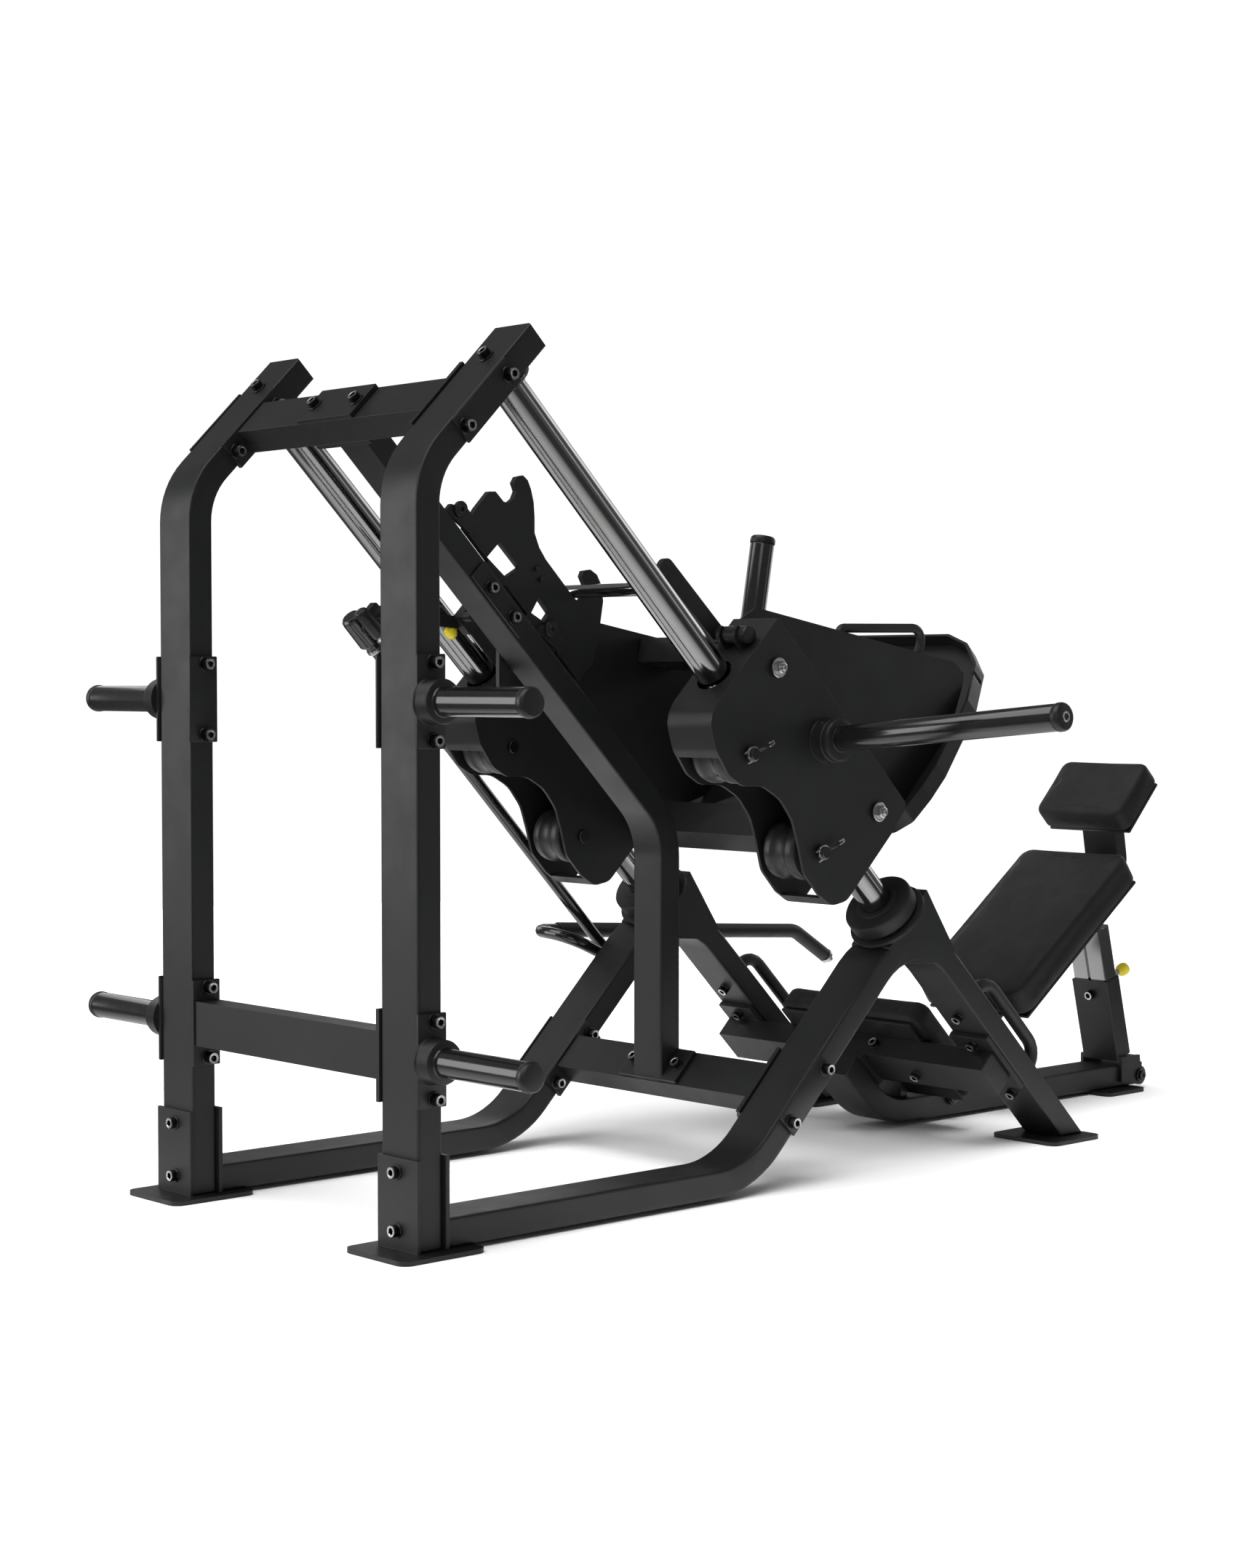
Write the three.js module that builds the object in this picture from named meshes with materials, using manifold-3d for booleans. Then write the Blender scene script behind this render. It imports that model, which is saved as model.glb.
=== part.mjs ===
// 45 degree leg press / hack squat sled. Millimetres, +Z up, X along the rails' plan line
// (back of the machine at -X, seat at +X), Y across. Everything but the release gear is symmetric in Y.
import * as THREE from 'three';
import { mergeVertices } from 'three/addons/utils/BufferGeometryUtils.js';
import Module from 'manifold-3d';

const wasm = await Module();
wasm.setup();

// ---- driving dimensions ----
const ORIGIN_X = 1154;            // moves the box centre to X = 0
const GAP = 0.3;                  // between touching pieces
const TUBE = 50, TUBE_W = 100;    // main frame tube
const TUBE_Y = 330;               // tube and rail centre line
const Y0 = TUBE_Y - TUBE_W / 2, Y1 = TUBE_Y + TUBE_W / 2;
const FOOT = 8;                   // foot plate thickness
const BASE_Z = FOOT + GAP + TUBE / 2;
const BEAM_W = 80, BEAM_Y = 272;  // crossbeam width, half span
const FLANGE_L = 154, FLANGE = 7.7;
const RAIL_R = 30, RAIL_TOP = -861, RAIL_END = 497;
const SLOPE = [1, 0, -1];         // rail direction, down the slope
const RAIL_SUM = 1661;            // x + z on the rail axis
const HORN_R = 24, BOSS_R = 37.5;
const PAD_ANGLE = 36 * Math.PI / 180;
const BACK_PIVOT = [1694, 51];
const STRUT_FOOT = [2300, 65], STRUT_PIVOT = [2344, 30];
const STRUT_DIR = [-0.2413, 0.9704];
const HEAD_ANGLE = 46.2 * Math.PI / 180;
const CATCH_AXIS = [-181, 86];    // (t, n) of the catch frame's crossbar
const LEVER_PIVOT = [1268, 407], ROD_PIN = [1172, 319];

// ---- frames ----
const R2 = Math.SQRT2;
// rail frame: t down the slope, n away from the rails
const tn = (t, n) => [RAIL_SUM / 2 + (n + t) / R2, RAIL_SUM / 2 + (n - t) / R2];
const TN = points => points.map(([t, n]) => tn(t, n));
// back frame: s along the back pad, h off its back face
const sh = (s, h) => [
  BACK_PIVOT[0] + s * Math.cos(PAD_ANGLE) - h * Math.sin(PAD_ANGLE),
  BACK_PIVOT[1] + s * Math.sin(PAD_ANGLE) + h * Math.cos(PAD_ANGLE)];
// strut frame: k up the strut, w towards +X
const kw = (k, w) => [STRUT_FOOT[0] + k * STRUT_DIR[0] + w * STRUT_DIR[1],
  STRUT_FOOT[1] + k * STRUT_DIR[1] - w * STRUT_DIR[0]];
const onSide = (side, a, b) => side > 0 ? [a, b] : [-b, -a];

// ---- solids ----
function tidy(geometry) {
  for (const name of Object.keys(geometry.attributes)) if (name !== 'position') geometry.deleteAttribute(name);
  geometry.clearGroups();
  return faceOut(mergeVertices(geometry, 1e-4));
}

function faceOut(geometry) {
  const p = geometry.attributes.position, index = geometry.index.array;
  const a = new THREE.Vector3(), b = new THREE.Vector3(), c = new THREE.Vector3();
  let volume = 0;
  for (let i = 0; i < index.length; i += 3) {
    a.fromBufferAttribute(p, index[i]); b.fromBufferAttribute(p, index[i + 1]);
    c.fromBufferAttribute(p, index[i + 2]);
    volume += a.dot(b.cross(c));
  }
  if (volume < 0) for (let i = 0; i < index.length; i += 3) {
    [index[i + 1], index[i + 2]] = [index[i + 2], index[i + 1]];
  }
  return geometry;
}

function toManifold(geometry) {
  const g = tidy(geometry.clone());
  return new wasm.Manifold(new wasm.Mesh({ numProp: 3,
    vertProperties: new Float32Array(g.attributes.position.array),
    triVerts: new Uint32Array(g.index.array) }));
}

function fromManifold(solid) {
  const mesh = solid.getMesh();
  const g = new THREE.BufferGeometry();
  g.setAttribute('position', new THREE.BufferAttribute(new Float32Array(mesh.vertProperties), 3));
  g.setIndex(new THREE.BufferAttribute(new Uint32Array(mesh.triVerts), 1));
  return g;
}

const join = (...parts) => fromManifold(parts.map(toManifold).reduce((a, b) => a.add(b)));
const cut = (body, ...tools) => fromManifold(tools.map(toManifold).reduce((a, b) => a.subtract(b),
  toManifold(body)));

// points in line with their neighbours are dropped, because the caps would skip them
function straightened(points) {
  return points.filter(([x, y], i) => {
    const [ax, ay] = points[(i + points.length - 1) % points.length], [bx, by] = points[(i + 1) % points.length];
    return Math.abs((x - ax) * (by - y) - (y - ay) * (bx - x)) > 1e-6;
  });
}

// outline anticlockwise, holes clockwise
function shapeOf(points, holes = []) {
  const turned = (outline, clockwise) => {
    const v = straightened(outline).map(([x, y]) => new THREE.Vector2(x, y));
    return THREE.ShapeUtils.isClockWise(v) === clockwise ? v : v.reverse();
  };
  const shape = new THREE.Shape(turned(points, false));
  for (const hole of holes) shape.holes.push(new THREE.Path(turned(hole, true)));
  return shape;
}

function extrude(points, depth, bevel, holes) {
  return new THREE.ExtrudeGeometry(shapeOf(points, holes), {
    depth: depth - 2 * bevel, steps: 1, bevelEnabled: bevel > 0, bevelThickness: bevel,
    bevelSize: bevel, bevelOffset: -bevel, bevelSegments: bevel > 3 ? 2 : 1,
  }).translate(0, 0, bevel);
}

// XZ outline drawn out along Y
const slab = (points, ya, yb, bevel = 0, holes = []) =>
  extrude(points, yb - ya, bevel, holes).rotateX(Math.PI / 2).translate(0, yb, 0);
// XY outline drawn up along Z
const plan = (points, za, zb, bevel = 0, holes = []) => extrude(points, zb - za, bevel, holes).translate(0, 0, za);
const box = (xa, xb, ya, yb, za, zb, bevel = 0) => slab([[xa, za], [xb, za], [xb, zb], [xa, zb]], ya, yb, bevel);
const tnBox = (ta, tb, na, nb, ya, yb, bevel = 0) =>
  slab(TN([[ta, na], [tb, na], [tb, nb], [ta, nb]]), ya, yb, bevel);

function arcPoints(cx, cy, r, from, to, n) {
  const out = [];
  for (let i = 0; i <= n; i++) {
    const a = from + (to - from) * i / n;
    out.push([cx + r * Math.cos(a), cy + r * Math.sin(a)]);
  }
  return out;
}
const circle = (cx, cy, r, n = 24) => arcPoints(cx, cy, r, 0, 2 * Math.PI * (n - 1) / n, n - 1);

// a closed outline with its corners rounded; r is one radius or one per corner
function rounded(points, r, seg = 4) {
  const out = [];
  points.forEach((p, i) => {
    const radius = Array.isArray(r) ? r[i] : r;
    const a = points[(i + points.length - 1) % points.length], b = points[(i + 1) % points.length];
    out.push(...cornerArc(a, p, b, radius, seg).map(q => q.point));
  });
  return out;
}

// the arc that rounds corner p between a and b, with the tangent at each point
function cornerArc(a, p, b, r, seg) {
  const unit = (u, v) => { const l = Math.hypot(v[0] - u[0], v[1] - u[1]); return [(v[0] - u[0]) / l, (v[1] - u[1]) / l]; };
  const d0 = unit(a, p), d1 = unit(p, b);
  const turn = Math.atan2(d0[0] * d1[1] - d0[1] * d1[0], d0[0] * d1[0] + d0[1] * d1[1]);
  if (!r || Math.abs(turn) < 0.02) return [{ point: p, tangent: d0 }];
  const back = r * Math.tan(Math.abs(turn) / 2), side = Math.sign(turn);
  const start = [p[0] - d0[0] * back, p[1] - d0[1] * back];
  const centre = [start[0] - side * d0[1] * r, start[1] + side * d0[0] * r];
  const out = [];
  for (let i = 0; i <= seg; i++) {
    const angle = turn * i / seg, c = Math.cos(angle), s = Math.sin(angle);
    const dx = start[0] - centre[0], dy = start[1] - centre[1];
    out.push({ point: [centre[0] + dx * c - dy * s, centre[1] + dx * s + dy * c],
      tangent: [d0[0] * c - d0[1] * s, d0[0] * s + d0[1] * c] });
  }
  return out;
}

// outline of a bar of half thickness `half` along a bent centre line; cuts = end face directions
function bar(path, radii, half, cuts = [null, null], seg = 8) {
  const line = [];
  const along = (a, b) => { const l = Math.hypot(b[0] - a[0], b[1] - a[1]); return [(b[0] - a[0]) / l, (b[1] - a[1]) / l]; };
  line.push({ point: path[0], tangent: along(path[0], path[1]) });
  for (let i = 1; i < path.length - 1; i++) {
    line.push(...cornerArc(path[i - 1], path[i], path[i + 1], radii[i - 1], seg));
  }
  line.push({ point: path.at(-1), tangent: along(path.at(-2), path.at(-1)) });
  const offset = ({ point, tangent }, sign, face) => {
    const normal = [-tangent[1], tangent[0]];
    const dir = face ?? normal;
    const k = sign * half / (dir[0] * normal[0] + dir[1] * normal[1]);
    return [point[0] + dir[0] * k, point[1] + dir[1] * k];
  };
  const face = i => i === 0 ? cuts[0] : i === line.length - 1 ? cuts[1] : null;
  return [...line.map((q, i) => offset(q, 1, face(i))), ...line.map((q, i) => offset(q, -1, face(i))).reverse()];
}

// turned piece: profile of [radius, height] along direction dir from origin
function turned(profile, origin, dir, seg = 28) {
  const g = new THREE.LatheGeometry(profile.map(([r, h]) => new THREE.Vector2(r, h)), seg);
  const q = new THREE.Quaternion().setFromUnitVectors(new THREE.Vector3(0, 1, 0),
    new THREE.Vector3(...dir).normalize());
  return g.applyQuaternion(q).translate(...origin);
}
const rod = (origin, dir, r, length, seg = 24) =>
  turned([[0, 0], [r, 0], [r, length], [0, length]], origin, dir, seg);

// round tube along a bent 3D line
class BentLine extends THREE.Curve {
  constructor(points, radius, seg = 5) {
    super();
    this.knots = [];
    const v = points.map(p => new THREE.Vector3(...p));
    const put = (point, tangent) => this.knots.push({ point: point.clone(), tangent: tangent.clone() });
    put(v[0], v[1].clone().sub(v[0]).normalize());
    for (let i = 1; i < v.length - 1; i++) {
      const d0 = v[i].clone().sub(v[i - 1]).normalize(), d1 = v[i + 1].clone().sub(v[i]).normalize();
      const turn = d0.angleTo(d1), r = Array.isArray(radius) ? radius[i - 1] : radius;
      const side = d1.clone().addScaledVector(d0, -d0.dot(d1)).normalize();
      const start = v[i].clone().addScaledVector(d0, -r * Math.tan(turn / 2));
      const n = Math.max(2, Math.ceil(seg * turn / (Math.PI / 2)));
      for (let k = 0; k <= n; k++) {
        const a = turn * k / n;
        put(start.clone().addScaledVector(d0, r * Math.sin(a)).addScaledVector(side, r * (1 - Math.cos(a))),
          d0.clone().multiplyScalar(Math.cos(a)).addScaledVector(side, Math.sin(a)));
      }
    }
    put(v.at(-1), v.at(-1).clone().sub(v.at(-2)).normalize());
  }
  getPointAt(u, target = new THREE.Vector3()) {
    return target.copy(this.knots[Math.round(u * (this.knots.length - 1))].point);
  }
  getPoint(u, target) { return this.getPointAt(u, target); }
  getTangentAt(u, target = new THREE.Vector3()) {
    return target.copy(this.knots[Math.round(u * (this.knots.length - 1))].tangent);
  }
  getTangent(u, target) { return this.getTangentAt(u, target); }
}

function pipe(points, r, bend, sides = 12) {
  const path = new BentLine(points, bend);
  return new THREE.ExtrudeGeometry(shapeOf(circle(0, 0, r, sides)), {
    steps: path.knots.length - 1, extrudePath: path, bevelEnabled: false });
}

// ---- fixed frame ----
function rearUpright(side) {
  const [ya, yb] = onSide(side, Y0, Y1);
  return slab(bar([[25, FOOT + GAP], [25, 1278], [259.5, 1512.5]], [137], TUBE / 2), ya, yb, 6);
}

function rearFoot(side) {
  const [ya, yb] = onSide(side, 250, 415), [pa, pb] = onSide(side, 279, 386);
  return join(plan(rounded([[-58, ya], [118, ya], [118, yb], [-58, yb]], 20), 0, FOOT),
    box(-6.3, -GAP, pa, pb, 7, 160));
}

// floor run, rise, apex and front leg in one bent tube
function sideBase(side) {
  const [ya, yb] = onSide(side, Y0, Y1), [fa, fb] = onSide(side, 272, 388);
  const path = [[56, BASE_Z], [763, BASE_Z], [1213, 450 + BASE_Z], [1655 + BASE_Z, FOOT + GAP]];
  return join(slab(bar(path, [200, 145], TUBE / 2, [null, [1, 0]], 9), ya, yb, 6),
    box(TUBE + GAP, 58, fa, fb, FOOT + GAP, 164), railSeat(side));
}

function frontFoot(side) {
  const [ya, yb] = onSide(side, 250, 418);
  return plan(rounded([[1583, ya], [1738, ya], [1738, yb], [1583, yb]], 20), 0, FOOT, 0,
    [circle(1612, side * 334, 7, 16)]);
}

// crossbeam with a bolt flange at each end; t,n box of its section and of its flanges
function crossbeam(section, flange) {
  const [ta, tb, na, nb] = section, [fa, fb, ga, gb] = flange;
  return join(tnBox(ta, tb, na, nb, -BEAM_Y, BEAM_Y, 5),
    tnBox(fa, fb, ga, gb, BEAM_Y - 1, BEAM_Y + FLANGE), tnBox(fa, fb, ga, gb, -BEAM_Y - FLANGE, 1 - BEAM_Y));
}
const TOP_N = -87.3, TOP_T = -886;
const topCrossbeam = () => crossbeam([TOP_T - 25, TOP_T + 25, TOP_N - 40, TOP_N + 40],
  [TOP_T - 28, TOP_T + 28, TOP_N - FLANGE_L / 2, TOP_N + FLANGE_L / 2]);
const MID_N = -414.4, MID_T = 516.2;
const midCrossbeam = () => crossbeam([MID_T - 25, MID_T + 25, MID_N - 40, MID_N + 40],
  [MID_T - 28, MID_T + 28, MID_N - FLANGE_L / 2, MID_N + FLANGE_L / 2]);

function lowerCrossbeam() {
  return join(box(0, TUBE, -BEAM_Y, BEAM_Y, 281, 361, 5), box(-3, 53, BEAM_Y - 1, BEAM_Y + FLANGE, 244, 398),
    box(-3, 53, -BEAM_Y - FLANGE, 1 - BEAM_Y, 244, 398));
}

const clampPlate = (side, t, n) => {
  const [ya, yb] = onSide(side, Y1 + GAP, Y1 + 6);
  return tnBox(t - 25, t + 25, n - FLANGE_L / 2, n + FLANGE_L / 2, ya, yb);
};
const saddlePlate = () => tnBox(TOP_T - 33.3, TOP_T - 25.3, TOP_N - 40, TOP_N + 40, -78, 78);

// spine of the machine between the top and the middle crossbeam
function centreBeam() {
  const start = tn(TOP_T + 27, TOP_N);
  const foot = MID_T - 25 - GAP;
  return join(slab(bar([start, [880, 657.5], [880, 188.5]], [150], TUBE / 2, [null, [Math.SQRT1_2, Math.SQRT1_2]], 9),
    -40, 40, 5), tnBox(TOP_T + 25.3, TOP_T + 33.3, TOP_N - 40, TOP_N + 40, -78, 78),
  tnBox(foot - 8, foot, MID_N - 38, MID_N + 38, -80, 80));
}

function frontCrossbeam() {
  const flange = side => { const [ya, yb] = onSide(side, 282, 378); return tnBox(841, 996, -11, -GAP, ya, yb); };
  return join(tnBox(878.5, 958.5, -60.4, -10.4, -372, 372, 5), flange(1), flange(-1));
}

function storageHorn(side, z) {
  const [ya, yb] = onSide(side, Y1 + GAP, Y1 + 6);
  return join(box(-4, 54, ya, yb, z - FLANGE_L / 2, z + FLANGE_L / 2), turned([[0, 0], [BOSS_R, 0], [BOSS_R, 32],
    [BOSS_R - 3, 35], [HORN_R, 35], [HORN_R, 241], [25.2, 241], [25.2, 250], [22, 255], [0, 256.5]],
  [25, side * (Y1 + 4), z], [0, side, 0]));
}

function rail(side) {
  const [x, z] = tn(RAIL_TOP + GAP, 0);
  const length = RAIL_END - RAIL_TOP - 2 * GAP;
  return turned([[0, 0], [47, 0], [47, 8], [RAIL_R, 8], [RAIL_R, length], [0, length]],
    [x, side * TUBE_Y, z], SLOPE, 36);
}

function bumper(side) {
  const [x, z] = tn(447, 0);
  return turned([[RAIL_R + 0.5, 0], [41, 0], [43, 3], [67, 4], [70, 7], [70, 33], [67, 36], [56, 38], [56, 41],
    [77, 41.5], [79, 43], [79, 49.3], [RAIL_R + 0.5, 49.3], [RAIL_R + 0.5, 0]], [x, side * TUBE_Y, z], SLOPE, 28);
}

// wedge that carries the rail's lower end, welded on the bend of the side base
function railSeat(side) {
  const [ya, yb] = onSide(side, Y0 + 0.5, Y1 - 0.5);
  return slab(TN([[RAIL_END, 78], [640, 51.2], [660, 30], [600, -20], [520, -90], [RAIL_END, -70]]), ya, yb);
}

function spine() {
  return join(slab(bar([tn(874, -96), [1492, BASE_Z], [2366, BASE_Z]], [150], TUBE / 2, [null, null], 10), -50, 50, 5),
    tnBox(876, 962, -72, -60.7, -60, 60));
}
const rearSeatFoot = () => plan(rounded([[2180, -97], [2320, -97], [2320, 97], [2180, 97]], 18), 0, FOOT, 0,
  [circle(2205, 78, 7, 16), circle(2205, -78, 7, 16)]);

function seatPlate() {
  return join(tnBox(830, 1070, -10.1, -4.7, -180, 180),
    slab([[1556, 58.7], [1576, 58.7], [1576, 74], [1556, 94]], -30, 30));
}

function seatHandle(side) {
  const y = side * 332, n = 50.3;
  const at = (t, h) => { const [x, z] = tn(t, h); return [x, y, z]; };
  return pipe([at(790, n), at(790, 105), at(1027, 105), at(1027, n)], 13.5, 42);
}

// ---- release gear ----
function hookPlate() {
  const outline = TN([[-584, -48], [-591, -3], [-592, 42], [-582, 53], [-556, 54], [-546, 62], [-544, 76],
    [-549, 90], [-564, 96], [-567, 109], [-559, 122], [-545, 124], [-528, 118], [-507, 106], [-486, 88],
    [-466, 68], [-439, 57], [-412, 53], [-330, 53], [-308, 54], [-301, 62], [-301, 78], [-312, 90],
    [-330, 95], [-334, 106], [-324, 120], [-306, 125], [-284, 119], [-260, 101], [-234, 64], [-195, 0],
    [-199, -48], [-277, -49], [-277, -61.5], [-372, -61.5], [-372, -50], [-448, -50],
    [-448, -61.5], [-505, -61.5], [-505, -48]]);
  const holes = [TN([[-511, -5], [-446, -4], [-456, -40], [-512, -46]]),
    TN([[-375, -9], [-337, -11], [-335, -32], [-368, -42]])];
  const body = slab(outline, -26, -14, 0, holes);
  const ear = t => slab(TN([[t + 40, -49], [t - 28, -61.6], [t - 28, -44], [t + 5, -22], [t + 40, -22]]), -34, -25);
  return join(body, ear(-612), ear(-311));
}

// arm from the hook plate over and under the centre beam to the rod's head on the far side
function releaseArm() {
  const near = slab([[522, 872], [548, 872], [548, 1024.8], [558, 1037], [534, 1061], [522, 1049]], 44, 54);
  const far = slab(rounded([[518, 872], [552, 872], [578, 1062], [560, 1084], [470, 1048], [474, 1020], [528, 1040]],
    [0, 0, 12, 12, 12, 12, 8], 3), 394, 401.7);
  return join(tnBox(-376, -350, -60.8, -51, -13.7, 50), near, box(522, 548, 45, 401, 872, 900), far);
}

function releaseRod() {
  const head = [484, 1037], d = [ROD_PIN[0] - head[0], ROD_PIN[1] - head[1]], length = Math.hypot(...d);
  const dir = [d[0] / length, 0, d[1] / length];
  const at = k => [head[0] + dir[0] * k, 424.5, head[1] + dir[2] * k];
  const eye = cut(rod([ROD_PIN[0], 416.5, ROD_PIN[1]], [0, 1, 0], 19, 16, 20),
    rod([ROD_PIN[0], 410, ROD_PIN[1]], [0, 1, 0], 11, 30, 16));
  return join(turned([[0, -34], [17, -34], [21, -30], [22, -22], [22, 34], [20, 37], [15, 38], [15, 48], [12.5, 49],
    [12.5, length - 17], [0, length - 17]], at(0), dir, 24), eye);
}

// hand lever: hub on the far leg, crank to the rod, tube looping out to the hand grip
function lever() {
  const [px, pz] = LEVER_PIVOT, [qx, qz] = ROD_PIN;
  const crank = slab(bar([[px, pz], [qx, qz]], [], 15), 389, 397);
  const grip = pipe([[qx - 6, 396, qz + 10], [1000, 396, 404], [1000, 520, 410], [1800, 520, 357],
    [1905, 520, 292]], 13, [55, 55, 60], 12);
  return join(crank, rod([px, Y1 + GAP, pz], [0, 1, 0], 22, 22, 24), rod([qx, 389, qz], [0, 1, 0], 15, 8, 24),
    rod([qx, 390, qz], [0, 1, 0], 6, 46, 14), grip);
}
// ---- carriage ----
const HOUSING = [[-164, 148], [333, 148], [339, 85], [337, -94], [314, -126], [273, -136], [216, -134],
  [170, -108], [126, -86], [75, -80], [26, -94], [-12, -130], [-50, -140], [-104, -131], [-152, -106], [-164, -75]];
const ROLLERS = [[-42, -78], [219, -78], [-102, 81], [280, 81]];

function housing(side) {
  const at = (a, b) => onSide(side, a, b);
  const outline = rounded(TN(HOUSING), [3, 12, 0, 30, 20, 20, 30, 40, 60, 60, 50, 30, 30, 30, 40, 60], 2);
  const body = slab(outline, ...at(274, 388));
  const inside = slab(rounded(TN([[-158, 142], [400, 142], [400, -110], [330, -95], [310, -120], [286, -126],
    [286, -220], [-88, -220], [-88, -128], [-146, -103], [-158, -72]]), [4, 0, 0, 0, 0, 0, 0, 0, 0, 25, 40], 2), ...at(280, 382));
  const gusset = slab(TN([[-158, 120], [-158, 140], [-143, 195], [-124, 212], [323, 525], [360, 530], [376, 505],
    [411.7, 420], [411.7, 220], [345, 100]]), ...at(274, 280));
  const [rx, rz] = tn(-200, 0);
  const bore = rod([rx, side * TUBE_Y, rz], SLOPE, 36, 90, 24);
  const pins = ROLLERS.map(([t, n]) => {
    const [x, z] = tn(t, n);
    return rod([x, side * 275, z], [0, side, 0], 8, 118, 14);
  });
  const lug = y => { const [c, d] = tn(...CATCH_AXIS); const [ya, yb] = at(y, y + 8);
    return slab([...TN([[-163, 108], [-163, 64]]), ...lugArc(c, d)], ya, yb); };
  return cut(join(cut(body, inside, bore), gusset, ...pins, lug(306), lug(346)),
    rod([...tnY(CATCH_AXIS, side * 300)], [0, side, 0], 16.5, 60, 24));
}
const tnY = ([t, n], y) => { const [x, z] = tn(t, n); return [x, y, z]; };
const lugArc = (x, z) => arcPoints(x, z, 22, -Math.PI * 0.72, -Math.PI * 1.28, 6).map(p => p);

const ROLLER_W = 39, ROLLER_R = 54.5;
function roller(side, t, n) {
  const groove = [-22, -11, 0, 11, 22].map(y => [Math.abs(n) - Math.sqrt((RAIL_R + 0.5) ** 2 - y * y), y]);
  return turned([[8.4, -ROLLER_W], [30, -ROLLER_W], [ROLLER_R - 1, -34], [ROLLER_R, -24],
    ...groove.map(([r, y]) => [Math.min(ROLLER_R, r), y]), [ROLLER_R, 24], [ROLLER_R - 1, 34], [30, ROLLER_W],
    [8.4, ROLLER_W], [8.4, -ROLLER_W]], tnY([t, n], side * TUBE_Y), [0, 1, 0], 20);
}

const PLATFORM = [[0, 201], [136, 201], [190, 172], [246, 148], [300, 148], [330, 180], [338, 240], [338, 300],
  [323, 392], [309, 477], [267, 582], [209, 640], [142, 668], [0, 680]];
function platform() {
  const half = PLATFORM.slice(1, -1);
  const outline = [...half, ...half.map(([y, n]) => [-y, n]).reverse()];
  const inset = outline.map(([y, n]) => [y * 0.982, 414 + (n - 414) * 0.978]);
  const place = (points, ta, tb) => {               // (Y, n) outline drawn out along t
    const g = extrude(points, tb - ta, 0);
    const basis = new THREE.Matrix4().makeBasis(new THREE.Vector3(0, 1, 0),
      new THREE.Vector3(1 / R2, 0, 1 / R2), new THREE.Vector3(1 / R2, 0, -1 / R2));
    return g.applyMatrix4(basis).translate(...tnY([ta, 0], 0));
  };
  return cut(place(rounded(outline, 18, 3), 382, 418), place(rounded(inset, 16, 3), 370, 412),
    ...[1, -1].map(side => tnBox(370, 412.2, 90, 560, ...onSide(side, 273.5, 280.5))));
}

// crossbeam under the gussets' top edges, with a foot beam lower down
const BEAM_T = 45, BEAM_N = 319, BEAM_DIR = [0.9843, -0.1765];
function carriageBeam() {
  const [x, z] = tn(BEAM_T, BEAM_N), [dx, dz] = BEAM_DIR;
  const corner = (a, b) => [x + a * dx + b * dz, z + a * dz - b * dx];
  return slab([corner(0, 0), corner(100, 0), corner(100, 50), corner(0, 50)], -273.7, 273.7, 4);
}
const lowerCarriageBeam = () => tnBox(300, 350, 20, 100, -273.7, 273.7, 4);
function weightHorn(side) {
  const y = side * 388.3;
  const [x, z] = tn(82, 76);
  const lean = 5.1 * Math.PI / 180;
  return join(turned([[0, 0], [41, 0], [41, 38], [38, 42], [0, 42]], [x, y, z], [0, side, 0], 28),
    turned([[0, 0], [HORN_R, 0], [HORN_R, 522], [25.2, 522], [25.2, 533], [22, 538], [0, 539.5]],
      [x, y + side * 24, z + 2], [0, side * Math.cos(lean), Math.sin(lean)], 28));
}

function centreHorn() {
  const [x, z] = tn(BEAM_T, BEAM_N), [dx, dz] = BEAM_DIR;
  const up = [-dz, 0, dx];
  return turned([[0, 0], [34, 0], [34, 12], [31, 15], [HORN_R, 15], [HORN_R, 198], [25.2, 198], [25.2, 206],
    [22, 210], [0, 211.5]], [x + 47 * dx + up[0] * GAP, 0, z + 47 * dz + up[2] * GAP], up);
}

const gripLoop = () => pipe([[1112, -264.4, 1022.4], [1112, -264.4, 1037], [1362, -264.4, 1040],
    [1322, -264.4, 960]], 9, [12, 24]);

// catch frame: two arms on stub axles, tied by a core rod that the hook bar is sleeved on
const CATCH_BAR = [-318, 67];
function catchFrame() {
  const arm = side => {
    const [ya, yb] = onSide(side, 284, 296);
    const outline = rounded(TN([[-181, 68], [-181, 100], [-375, 92], [-375, 58]]), [10, 10, 15, 15], 4);
    return slab(outline, ya, yb);
  };
  const stub = side => rod(tnY(CATCH_AXIS, side * 284), [0, side, 0], 16, 81, 24);
  return join(rod(tnY(CATCH_BAR, -285), [0, 1, 0], 8, 570, 16), stub(1), stub(-1), arm(1), arm(-1));
}
const catchBar = () => cut(rod(tnY(CATCH_BAR, -283.7), [0, 1, 0], 12.5, 567.4, 24),
  rod(tnY(CATCH_BAR, -290), [0, 1, 0], 8.6, 580, 16));

// ---- seat ----
// soft slab: width across Y, length, thickness, placed at corner (a, h) of the frame `to` at `angle`
function pad(width, length, thick, corner, origin, angle) {
  const outline = rounded([[-width / 2, 0], [width / 2, 0], [width / 2, length], [-width / 2, length]], corner, 4);
  const g = extrude(outline, thick, 8);
  const c = Math.cos(angle), s = Math.sin(angle);
  const basis = new THREE.Matrix4().makeBasis(new THREE.Vector3(0, -1, 0), new THREE.Vector3(c, 0, s),
    new THREE.Vector3(-s, 0, c));
  return g.applyMatrix4(basis).translate(origin[0], 0, origin[1]);
}
const seatPad = () => pad(394, 258, 61.5, 34, tn(821, -4.2), -Math.PI / 4);
const backPad = () => pad(300, 485, 78, 48, sh(204, 48.5), PAD_ANGLE);
const HEAD_FOOT = [2218, 591];
const headPad = () => pad(245, 166, 68, 36, HEAD_FOOT, HEAD_ANGLE);

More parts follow.
